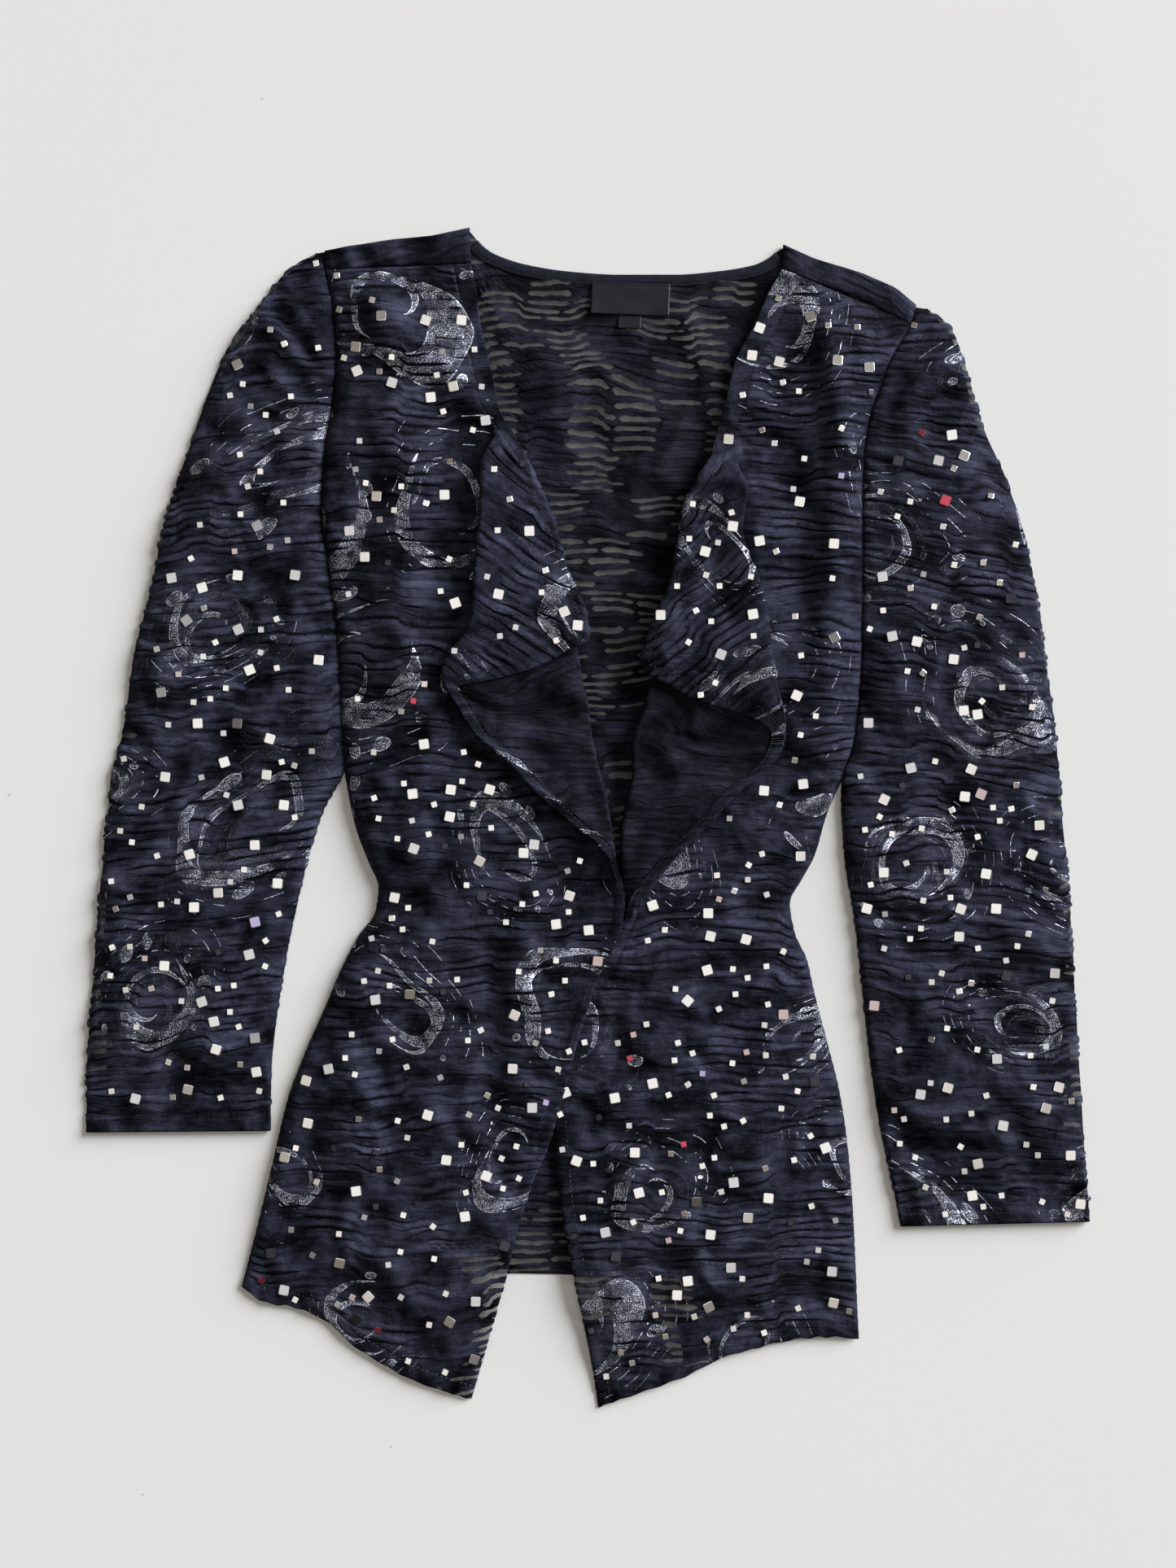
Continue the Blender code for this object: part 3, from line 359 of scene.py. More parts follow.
def crinkle_knit(name, dark, light, printed):
    """Crinkled knit: matt fibre with painted shade in its valleys and slow dips and a painted highlight on
    its crests, with sheer slits, and glitter where it is printed.
    """
    material, tree, surface = new_material(name)
    place = add(tree, "Attribute", out="Vector", attribute_name="cloth_place")
    state = add(tree, "Attribute", out="Vector", attribute_name="cloth_state")
    u, v, course = add(tree, "SeparateXYZ", (place,)).node.outputs
    strength, depth, sheer = add(tree, "SeparateXYZ", (state,)).node.outputs

    # Painted shade in the valleys: the colour darkens along each valley's crease line, as far as the cloth is
    # drawn in there
    from_valley = add(tree, "Math", (course, 0.5), operation="PINGPONG")
    reach = add(tree, "MapRange", {"Value": depth, "To Min": 0.05, "To Max": 0.24})
    crest = add(tree, "MapRange", {"Value": from_valley, "From Max": reach}, interpolation_type="SMOOTHSTEP")
    valley_shade = add(tree, "Math", (1.0, crest), operation="SUBTRACT")
    valley_shade = add(tree, "Math", (valley_shade, depth), operation="MULTIPLY")

    # Noise scales are per millimetre of cloth: clouds 22 mm wide, slow relief 45 mm, whose dips the tone
    # darkens and whose rises it lightens as painted shade, crushes 12 by 3 mm. The wales are drawn 1.3 mm
    # wide, about twice as coarse as this knit has them, so that they show
    cloth_point = add(tree, "CombineXYZ", (u, v, 0.0))
    wale_point = add(tree, "CombineXYZ", (u, add(tree, "Math", (v, 0.22), operation="MULTIPLY"), 0.0))
    crush_point = add(tree, "VectorMath", (cloth_point, (0.085, 0.3, 0.0)), operation="MULTIPLY")
    cloudy, slow, wales, crush = (add(tree, "TexNoise", inputs, out="Fac") for inputs in (
        {"Vector": cloth_point, "Scale": 0.045, "Detail": 5.0, "Roughness": 0.6},
        {"Vector": cloth_point, "Scale": 0.022, "Detail": 1.5, "Distortion": 0.4},
        {"Vector": wale_point, "Scale": 0.75, "Detail": 3.0},
        {"Vector": crush_point, "Scale": 1.0, "Detail": 4.0, "Distortion": 0.7},
    ))
    # Thin crease lines through the crushes: dented in the bump and darkened with the valleys' painted shade
    pinched = add(tree, "Math", (crush, 0.5), operation="SUBTRACT")
    pinched = add(tree, "Math", (pinched,), operation="ABSOLUTE")
    pinched = add(tree, "MapRange", {"Value": pinched, "From Max": 0.022, "To Min": 1.0, "To Max": 0.0},
                  interpolation_type="SMOOTHSTEP")
    pinched = add(tree, "Math", (pinched, depth), operation="MULTIPLY")
    valley_shade = add(tree, "Math", (pinched, 0.8, valley_shade), operation="MULTIPLY_ADD", use_clamp=True)
    tone = add(tree, "Math", (wales, 0.16, cloudy), operation="MULTIPLY_ADD")
    tone = add(tree, "Math", (crush, 0.35, tone), operation="MULTIPLY_ADD")
    # Painted highlight: each pucker is lighter towards its crest, as much as it stands up
    painted_crest_highlight = add(tree, "Math", (strength, 0.6), operation="MULTIPLY")
    painted_crest_highlight = add(tree, "Math", (from_valley, painted_crest_highlight), operation="MULTIPLY")
    tone = add(tree, "Math", (tone, painted_crest_highlight), operation="ADD")
    # Painted shade: the tone follows the slow relief of the bump, darker in its dips and lighter on its rises
    tone = add(tree, "Math", (slow, 0.35, tone), operation="MULTIPLY_ADD")
    tone = add(tree, "MapRange", {"Value": tone, "From Min": 0.71, "From Max": 1.46},
               interpolation_type="SMOOTHSTEP")
    dashes = shirring_dashes(tree, u, course, cloudy, printed)
    colour = add(tree, "Mix", {0: tone, 6: linear(dark), 7: linear(light)}, 2, data_type="RGBA")
    # First the painted shade in the valleys, then the shirring threads' own dark dashes
    for share in (valley_shade, dashes):
        colour = add(tree, "Mix", {0: share, 6: colour, 7: linear(VALLEY_SHADE_AND_DASH_BLACK)}, 2, data_type="RGBA")

    # Height in millimetres: the crest's crisp edges over the modelled pucker, and what each part adds to it
    height = add(tree, "Math", (crest, depth), operation="MULTIPLY")
    for part, most in ((wales, 0.25), (crush, 1.3), (slow, 30.0), (pinched, -0.5), (dashes, -0.25)):
        height = add(tree, "Math", (part, most, height), operation="MULTIPLY_ADD")
    metal, rough = 0.0, 0.85
    if printed:
        silver = add_glitter(tree, cloth_point, valley_shade)
        # Painted glints: each 1 mm flake of glitter gets its own brightness at random, from dim to bright,
        # standing in for how it catches the light
        flake = add(tree, "TexWhiteNoise", (add(tree, "VectorMath", (cloth_point,), operation="FLOOR"),))
        painted_flake_glint = add(tree, "Mix", {0: flake, 6: linear(GLITTER_DIM_GLINT), 7: linear(GLITTER_BRIGHT_GLINT)}, 2,
                    data_type="RGBA")
        colour = add(tree, "Mix", {0: silver, 6: colour, 7: painted_flake_glint}, 2, data_type="RGBA")
        metal = add(tree, "Math", (silver, 0.5), operation="MULTIPLY")
        rough = add(tree, "MapRange", {"Value": silver, "To Min": 0.85, "To Max": 0.35})
        height = add(tree, "Math", (silver, 0.12, height), operation="MULTIPLY_ADD")
    bump = add(tree, "Bump", {"Strength": 0.9, "Distance": MM, "Height": height})
    fabric = add(tree, "BsdfPrincipled", {
        "Base Color": colour, "Metallic": metal, "Roughness": rough, "Normal": bump,
        "Specular IOR Level": 0.06, "Sheen Weight": 0.02, "Sheen Roughness": 0.5,
        "Sheen Tint": linear("aab0cc"),
    })

    # In the slits the shirring yarn shows, and the cloth is half clear beside it
    slit, wavy = sheer_slits(tree, cloth_point, u, course, from_valley, sheer)
    mesh_tone = add(tree, "Mix", {0: wavy, 6: linear(MESH_DARK), 7: linear(MESH_LIGHT)}, 2, data_type="RGBA")
    mesh_yarn = add(tree, "BsdfDiffuse", {"Color": mesh_tone})
    yarn_share = add(tree, "Math", (slit, SLIT_YARN_SHARE), operation="MULTIPLY")
    fabric = add(tree, "MixShader", (yarn_share, fabric, mesh_yarn))
    clear_share = add(tree, "Math", (slit, SLIT_CLEAR_SHARE), operation="MULTIPLY")
    clear = add(tree, "BsdfTransparent", (linear("f6f5f3"),))
    mixed = add(tree, "MixShader", (clear_share, fabric, clear))
    tree.links.new(mixed, surface)
    return material


Motif = namedtuple("Motif", "u v size stretch turn side")


def glitter_motifs(u, v, seed):
    """Places motifs on a loose diagonal grid over a piece of cloth, each with its own size and turn."""
    draw = np.random.default_rng(seed)
    motifs = []
    for k, middle_v in enumerate(np.arange(v.min() + 0.25 * MOTIF_SPACING, v.max(), 0.85 * MOTIF_SPACING)):
        first_u = u.min() + (0.2 if k % 2 else 0.7) * MOTIF_SPACING
        for middle_u in np.arange(first_u, u.max(), MOTIF_SPACING):
            du, dv = draw.uniform(-0.16, 0.16, 2) * MOTIF_SPACING
            motifs.append(Motif(middle_u + du, middle_v + dv, draw.uniform(1.0, 1.9), draw.uniform(0.5, 0.95),
                                draw.uniform(0, 2 * np.pi), draw.choice((-1, 1))))
    return motifs


def motif_places(u, v, motifs, seed):
    """Each face corner's place in the motif nearest to its face, in millimetres, and that motif's number."""
    corners = [(slice(None, -1), slice(None, -1)), (slice(None, -1), slice(1, None)),
               (slice(1, None), slice(1, None)), (slice(1, None), slice(None, -1))]
    corner_u, corner_v = (np.stack([field[c] for c in corners], -1) for field in (u, v))
    places = np.zeros((*corner_u.shape, 3))
    nearest = np.full(corner_u.shape[:2], 1e9)
    for number, m in enumerate(motifs):
        du, dv = corner_u - m.u, corner_v - m.v
        away = np.hypot(du.mean(axis=-1), dv.mean(axis=-1)) / m.size
        closer = away < np.minimum(nearest, MOTIF_REACH + 6)
        x = (du * math.cos(m.turn) + dv * math.sin(m.turn)) / m.size
        y = (dv * math.cos(m.turn) - du * math.sin(m.turn)) / (m.size * m.stretch) * m.side
        mine = np.stack([x, y, np.full_like(x, number + 1 + 50 * seed)], -1)
        places = np.where(closer[..., None, None], mine, places)
        nearest = np.where(closer, away, nearest)
    return places


def add_cloth(name, grids, facing, materials):
    """Builds a cut piece from grids of its right side: a closed shell that is one cloth thick.

    Each grid is a dict of points, places and states. facing is 1 where du x dv points off the right side.
    """
    points, quads, values, corners, count = [], [], {"cloth_place": [], "cloth_state": []}, [], 0
    for grid in grids:
        rows, columns = grid["points"].shape[:2]
        index = np.arange(rows * columns).reshape(rows, columns) + count
        around = np.stack([index[:-1, :-1], index[:-1, 1:], index[1:, 1:], index[1:, :-1]], -1)
        quads.append(around[..., ::facing].reshape(-1, 4))
        corners.append(grid["motif_place"][..., ::facing, :].reshape(-1, 3))
        points.append(grid["points"].reshape(-1, 3) * MM)
        for key in values:
            values[key].append(grid[key].reshape(-1, 3))
        count += rows * columns
    mesh = bpy.data.meshes.new(name)
    mesh.from_pydata(np.concatenate(points).tolist(), [], np.concatenate(quads).tolist())
    for key, parts in values.items():
        attribute = mesh.attributes.new(key, "FLOAT_VECTOR", "POINT")
        attribute.data.foreach_set("vector", np.concatenate(parts).astype(np.float32).ravel())
    attribute = mesh.attributes.new("motif_place", "FLOAT_VECTOR", "CORNER")
    attribute.data.foreach_set("vector", np.concatenate(corners).astype(np.float32).ravel())
    if len(grids) > 1:
        welded = bmesh.new()
        welded.from_mesh(mesh)
        bmesh.ops.remove_doubles(welded, verts=welded.verts, dist=WELD * MM)
        welded.to_mesh(mesh)
        welded.free()
    mesh.shade_smooth()
    for material in materials:
        mesh.materials.append(material)
    piece = bpy.data.objects.new(name, mesh)
    scene.collection.objects.link(piece)
    shell = piece.modifiers.new("Cloth", "SOLIDIFY")
    shell.thickness = CLOTH * MM
    shell.offset = -1.0
    shell.material_offset = 1
    return piece


right_side_knit = crinkle_knit("crinkle_knit_right_side", KNIT_BLACK, KNIT_GREY, True)
wrong_side_knit = crinkle_knit("crinkle_knit_wrong_side", WRONG_BLACK, WRONG_GREY, False)
knit_sides = (right_side_knit, wrong_side_knit)

# Foil squares: mirror-bright polyester foil, heat-fixed to the right side of the knit after it is printed,
# large ones and small ones, often in pairs. Each lies on a flat spot among the puckers, and some lean.
FOIL_LARGE, FOIL_SMALL = 6.5, 3.9
FOIL_THICKNESS, FOIL_CORNER = 0.28, 0.3
FOIL_SPACING, FOIL_APART = 23.5, 8.5
FOIL_MISSING_SHARE, FOIL_LARGE_SHARE, FOIL_PARTNER_SHARE, FOIL_LEANING_SHARE = 0.08, 0.46, 0.42, 0.15
PARTNER_NEAR, PARTNER_FAR = (7.5, 5.5), (10.5, 9.5)
FOIL_LIFT, FOIL_LIFT_MOST = 0.3, 1.3
FOIL_HEM_ROWS = 5
FOIL_SPOT_HEIGHT = 0.72
TOP_REACH, TOP_DEPTH = 3.5, 1.6
LEAST_UPWARD, LEAST_UPWARD_ROUND_IT, MOST_UNEVEN = 0.86, 0.2, 3.2
# tone picks each square's colour: silver, a tint, or a painted reflection
Foil = namedtuple("Foil", "row column size turn tone")


def silver_foil():
    """Aluminised polyester, heat-pressed: a smooth mirror; on some squares a painted reflection makes it grey
    or near black, and a few are tinted.
    """
    material, tree, surface = new_material("aluminised_polyester_foil")
    tone = add(tree, "Attribute", out="Fac", attribute_name="foil_tint_and_reflection")
    ramp = add(tree, "ValToRGB", (tone,)).node
    ramp.color_ramp.interpolation = "CONSTANT"
    # The two silvers are the foil; the grey and the near-black are painted reflections of darker
    # surroundings; the pink, violet and red are tints
    for place, colour in ((0.0, "fbfaf8"), (0.72, "dcdbdf"), (0.86, "a9a7ab"), (0.91, "45454e"),
                          (0.962, "cdb9ba"), (0.978, "c3b8e2"), (0.991, "c8566a")):
        stop = ramp.color_ramp.elements[0] if place == 0.0 else ramp.color_ramp.elements.new(place)
        stop.color = linear(colour)
    foil = add(tree, "BsdfPrincipled", {"Base Color": ramp.outputs["Color"], "Metallic": 1.0,
                                        "Roughness": 0.2})
    tree.links.new(foil, surface)
    return material


foil_material = silver_foil()


def top_point(points, x, y):
    """Index of the highest grid point close to a place seen from above, or None where the piece has none."""
    away = np.hypot(points[:, 0] - x, points[:, 1] - y)
    near = np.nonzero(away < TOP_REACH)[0]
    if not len(near):
        return None
    highest = near[points[near, 2] > points[near, 2].max() - TOP_DEPTH]
    return highest[np.argmin(away[highest])]


def scatter_foils(points, normals, seed):
    """Scatters squares over a piece's right side where it faces up: a loose grid, many with a partner."""
    draw = np.random.default_rng(seed)
    flat, up = points.reshape(-1, 3), normals.reshape(-1, 3)[:, 2]
    low, high = flat.min(axis=0), flat.max(axis=0)
    places = []
    for k, y in enumerate(np.arange(low[1], high[1], FOIL_SPACING)):
        for x in np.arange(low[0] + (k % 2) * 0.5 * FOIL_SPACING, high[0], FOIL_SPACING):
            if draw.random() < FOIL_MISSING_SHARE:
                continue
            at_x, at_y = np.array([x, y]) + draw.uniform(-0.36, 0.36, 2) * FOIL_SPACING
            places.append((at_x, at_y, FOIL_LARGE if draw.random() < FOIL_LARGE_SHARE else FOIL_SMALL))
            if draw.random() < FOIL_PARTNER_SHARE:
                way = draw.choice([-1, 1], 2) * draw.uniform(PARTNER_NEAR, PARTNER_FAR)
                places.append((at_x + way[0], at_y + way[1], FOIL_SMALL))
    foils, kept = [], []
    for x, y, size in places:
        if any(math.hypot(x - other_x, y - other_y) < FOIL_APART for other_x, other_y in kept):
            continue
        found = [top_point(flat, x + dx, y + dy) for dx, dy in ((0, 0), (6, 0), (-6, 0), (0, 6), (0, -6))]
        if None in found or up[found[0]] < LEAST_UPWARD:
            continue
        if np.ptp(flat[found, 2]) > MOST_UNEVEN or min(up[found]) < LEAST_UPWARD_ROUND_IT:
            continue
        row, column = divmod(int(found[0]), points.shape[1])
        if row > points.shape[0] - FOIL_HEM_ROWS:
            continue
        foils.append(Foil(row, column, size, draw.normal(0, 0.22), draw.random()))
        kept.append((x, y))
    return foils


def flat_spots(u, v, foils):
    """1 under each foil square and 0 away from it."""
    spots = np.zeros(u.shape)
    for f in foils:
        distance = np.hypot(u - u[f.row, f.column], v - v[f.row, f.column]) / (0.8 * f.size)
        spots = np.maximum(spots, np.exp(-distance ** 4))
    return spots


def add_trim(name, verts, faces, material):
    """Makes one piece of many small parts that lie on the cloth and move with it."""
    mesh = bpy.data.meshes.new(name)
    mesh.from_pydata([tuple(p * MM) for p in verts], [], faces)
    mesh.materials.append(material)
    piece = bpy.data.objects.new(name, mesh)
    scene.collection.objects.link(piece)
    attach(piece, "root")
    return piece


def add_foils(name, points, normals, foils, seed):
    """Builds a piece's squares as one mesh: bevelled plates, each raised until it clears the cloth."""
    draw = np.random.default_rng(seed)
    corner_angles = [a + b for a in np.arange(4) * np.pi / 2 for b in (0.0, np.pi / 4, np.pi / 2)]
    corners = ((1, 1), (-1, 1), (-1, -1), (1, -1))
    middles = [(1 - FOIL_CORNER) * np.array(corner) for corner in corners for _ in range(3)]
    outline = np.array([m + FOIL_CORNER * np.array([math.cos(a), math.sin(a)])
                        for m, a in zip(middles, corner_angles)]) / 2
    count = len(outline)
    rings = [(outline, 0.0), (outline, 0.7 * FOIL_THICKNESS), (0.88 * outline, FOIL_THICKNESS)]
    verts, faces, foil_tints_and_reflections = [], [], []
    flat_points = points.reshape(-1, 3)
    for f in foils:
        tilt = draw.normal(0, 0.13 if draw.random() < FOIL_LEANING_SHARE else 0.04, 3)
        up = 0.55 * normals[f.row, f.column] + (0, 0, 0.45) + tilt
        up /= np.linalg.norm(up)
        across = points[f.row, min(f.column + 1, points.shape[1] - 1)] - points[f.row, max(f.column - 1, 0)]
        across -= up * (across @ up)
        across /= np.linalg.norm(across)
        away = np.cross(up, across)
        along_x = across * math.cos(f.turn) + away * math.sin(f.turn)
        along_y = away * math.cos(f.turn) - across * math.sin(f.turn)
        middle = points[f.row, f.column]
        round_it = flat_points[np.abs(flat_points - middle).max(axis=1) < 0.6 * f.size]
        middle = middle + up * np.clip(((round_it - middle) @ up).max() + 0.05, FOIL_LIFT, FOIL_LIFT_MOST)
        base = len(verts)
        for ring, height in rings:
            verts += [middle + f.size * (p[0] * along_x + p[1] * along_y) + up * height for p in ring]
        verts.append(middle + up * FOIL_THICKNESS)
        foil_tints_and_reflections += [f.tone] * (3 * count + 1)
        faces.append([base + k for k in reversed(range(count))])
        for k in range(count):
            n = (k + 1) % count
            for start in (base, base + count):
                faces.append([start + k, start + n, start + count + n, start + count + k])
            faces.append([base + 2 * count + k, base + 2 * count + n, base + 3 * count])
    piece = add_trim(name, verts, faces, foil_material)
    tone = piece.data.attributes.new("foil_tint_and_reflection", "FLOAT", "POINT")
    tone.data.foreach_set("value", np.array(foil_tints_and_reflections, np.float32))
    return piece


# Sewing: black spun polyester thread. Hems are turned under and chain-stitched, so a shallow groove runs
# along each row of stitches, and the elastic cloth is pinched beside it.
THREAD = 0.32
STITCH_LENGTH, STITCH_PITCH = 2.5, 3.3
GROOVE_DEPTH, GROOVE_WIDTH, PINCH_WIDTH = 0.45, 0.9, 4.0


def sewing_thread():
    """Spun polyester thread: black, a little glossier than the knit."""
    material, tree, surface = new_material("polyester_thread")
    fuzz = add(tree, "TexNoise", {"Scale": 2200.0}, out="Fac")
    colour = add(tree, "Mix", {0: fuzz, 6: linear("08080c"), 7: linear("20202a")}, 2, data_type="RGBA")
    thread = add(tree, "BsdfPrincipled", {"Base Color": colour, "Roughness": 0.5, "Specular IOR Level": 0.5})
    tree.links.new(thread, surface)
    return material


thread_material = sewing_thread()


def add_stitches(name, lines):
    """Builds rows of stitches as one mesh: a spindle for each, half sunk in the cloth.

    A line is a pair of its points and their normals.
    """
    verts, faces = [], []
    for path, ups in lines:
        lengths = np.concatenate([[0.0], np.cumsum(np.linalg.norm(np.diff(path, axis=0), axis=1))])
        for start in np.arange(1.0, lengths[-1] - STITCH_LENGTH, STITCH_PITCH):
            a, middle, b = (np.array([np.interp(start + share * STITCH_LENGTH, lengths, path[:, k])
                                      for k in range(3)]) for share in (0.0, 0.5, 1.0))
            up = np.array([np.interp(start, lengths, ups[:, k]) for k in range(3)])
            side = np.cross(up, b - a)
            side *= THREAD / max(np.linalg.norm(side), 1e-6)
            base = len(verts)
            verts += [a, middle + up * THREAD, middle + side, middle - up * 0.5 * THREAD, middle - side, b]
            ring = [base + 1, base + 2, base + 3, base + 4]
            for k in range(4):
                faces.append((base, ring[(k + 1) % 4], ring[k]))
                faces.append((base + 5, ring[k], ring[(k + 1) % 4]))
    return add_trim(name, verts, faces, thread_material)


# The back: one panel of the knit, its wrong side up inside the garment, lying on the floor. Over each
# shoulder it wraps forward to a seam on the front, so a strip of its right side shows along the top.

# Its outline, read from the photo: both side seams and armholes from the shoulder down, the folds and seams
# over the shoulders, the neckline and the hem
SidePoint = namedtuple("SidePoint", "y x")
RIGHT_SIDE = [
    SidePoint(369, -171), SidePoint(356, -170), SidePoint(332, -165), SidePoint(300, -163),
    SidePoint(268, -166), SidePoint(236, -171), SidePoint(204, -173), SidePoint(162, -168),
    SidePoint(114, -163), SidePoint(60, -160), SidePoint(32, -158), SidePoint(8, -154),
    SidePoint(-8, -150), SidePoint(-29, -142), SidePoint(-45, -136), SidePoint(-61, -138),
    SidePoint(-77, -149), SidePoint(-98, -160), SidePoint(-124, -171), SidePoint(-151, -183),
    SidePoint(-183, -195), SidePoint(-225, -205), SidePoint(-262, -214), SidePoint(-304, -225),
]
LEFT_SIDE = [
    SidePoint(334, 213), SidePoint(321, 209), SidePoint(300, 197), SidePoint(279, 189),
    SidePoint(263, 183), SidePoint(236, 179), SidePoint(204, 178), SidePoint(162, 178),
    SidePoint(109, 178), SidePoint(56, 174), SidePoint(29, 166), SidePoint(3, 155),
    SidePoint(-24, 147), SidePoint(-39, 139), SidePoint(-55, 131), SidePoint(-74, 134),
    SidePoint(-92, 142), SidePoint(-114, 147), SidePoint(-145, 155), SidePoint(-177, 163),
    SidePoint(-209, 168), SidePoint(-241, 171), SidePoint(-273, 173), SidePoint(-334, 176),
]
TopPoint = namedtuple("TopPoint", "x fold_y seam_x seam_y")
RIGHT_SHOULDER = [
    TopPoint(-171, 369, -170, 356), TopPoint(-155, 372, -154, 357), TopPoint(-129, 376, -129, 358),
    TopPoint(-100, 379, -100, 359), TopPoint(-77, 384, -76, 360),
]
LEFT_SHOULDER = [
    TopPoint(127, 373, 126, 357), TopPoint(147, 364, 145, 349), TopPoint(179, 354, 176, 338),
    TopPoint(200, 345, 197, 327), TopPoint(213, 334, 209, 321),
]
NECKLINE = [(-77, 384), (-70, 373), (-60, 366), (-38, 359), (-12, 355), (20, 353), (57, 353),
            (83, 355), (107, 359), (118, 364), (127, 373)]
BACK_HEM = [(-225, -304), (-130, -299), (-50, -296), (-12, -297), (60, -304), (120, -318), (176, -334)]
BACK_ROWS, SHOULDER_COLUMNS, NECK_COLUMNS = 400, 24, 54
BACK_ROW_PITCH, BACK_EDGE_FADE = 1.7, 6.0
FLOOR_CLEARANCE = 0.06
WRAP_ROUND_ROWS, WRAP_FLAT_ROWS = 8, 10
WRAP_RADIUS = 2.1
SEAM_DEPTH, SEAM_OVERLAP = 0.5, 0.3
BACK_HEM_BAND = 8.0
BACK_LOFT, BACK_COVERED_LIMIT, BACK_OPEN_LIMIT = 0.9, 2.4, 3.0
OPENING_X, OPENING_LOW_Y, OPENING_TOP_Y = 18.0, -40.0, 350.0
OPENING_LOW_HALF, OPENING_TOP_HALF = 5.0, 95.0
BACK_SHEER = 0.66
BACK_SEED = 11

# A soft ridge along a line from one point to another, or a trough where its height is below zero
Crease = namedtuple("Crease", "x0 y0 x1 y1 width height")
BACK_CREASES = [
    Crease(-35, 160, 52, 252, 11, 3.0),
    Crease(-10, 140, 75, 225, 8, -1.6),
    Crease(20, 128, 88, 200, 9, 2.4),
    Crease(-52, 318, 12, 262, 11, 2.2),
    Crease(55, 330, 85, 270, 10, 2.0),
    Crease(5, 75, 15, -25, 10, 2.6),
    Crease(42, 100, 30, 20, 8, 2.4),
    Crease(-5, 120, -12, 60, 8, 1.8),
]


def lumps(x, y, seed):
    """The slow unevenness of cloth that has been laid down: gentle rises and dips, in millimetres."""
    return 1.7 * soft_noise(x / 47, y / 36, seed + 60) + 1.2 * soft_noise(x / 21, y / 15, seed + 61)


def smooth_read(knots, values, at):
    """Reads a column between the rows of its table, smoothly and without overshoot. The knots rise."""
    knots, values, at = (np.asarray(a, float) for a in (knots, values, at))
    rise = np.diff(values) / np.diff(knots)
    slopes = np.concatenate([[rise[0]], np.zeros(len(rise) - 1), [rise[-1]]])
    same = rise[:-1] * rise[1:] > 0
    slopes[1:-1][same] = 2 * rise[:-1][same] * rise[1:][same] / (rise[:-1][same] + rise[1:][same])
    at = np.clip(at, knots[0], knots[-1])
    i = np.clip(np.searchsorted(knots, at, side="right") - 1, 0, len(knots) - 2)
    width = knots[i + 1] - knots[i]
    t = (at - knots[i]) / width
    return (values[i] * (1 + 2 * t) * (1 - t) ** 2 + values[i + 1] * t * t * (3 - 2 * t)
            + width * (slopes[i] * t * (1 - t) ** 2 - slopes[i + 1] * t * t * (1 - t)))


def side_x(side, y):
    """The x of a side seam or armhole at each height."""
    rising = sorted(side)
    return smooth_read([p.y for p in rising], [p.x for p in rising], y)


def table_column(table, name):
    """One named column of a table, as an array."""
    return np.array([getattr(row, name) for row in table], float)


def grid_lengths(points, axis):
    """Distance walked along a grid's rows or columns, from its first point."""
    steps = np.linalg.norm(np.diff(points, axis=axis), axis=2)
    start = np.zeros((steps.shape[0], 1)) if axis == 1 else np.zeros((1, steps.shape[1]))
    return np.concatenate([start, np.cumsum(steps, axis=axis)], axis=axis)


def unit_normals(points):
    """Unit normals of a grid of points, along the turn from its columns to its rows."""
    across, down = np.gradient(points, axis=1), np.gradient(points, axis=0)
    normals = np.cross(across, down)
    return normals / np.maximum(np.linalg.norm(normals, axis=2, keepdims=True), 1e-9)


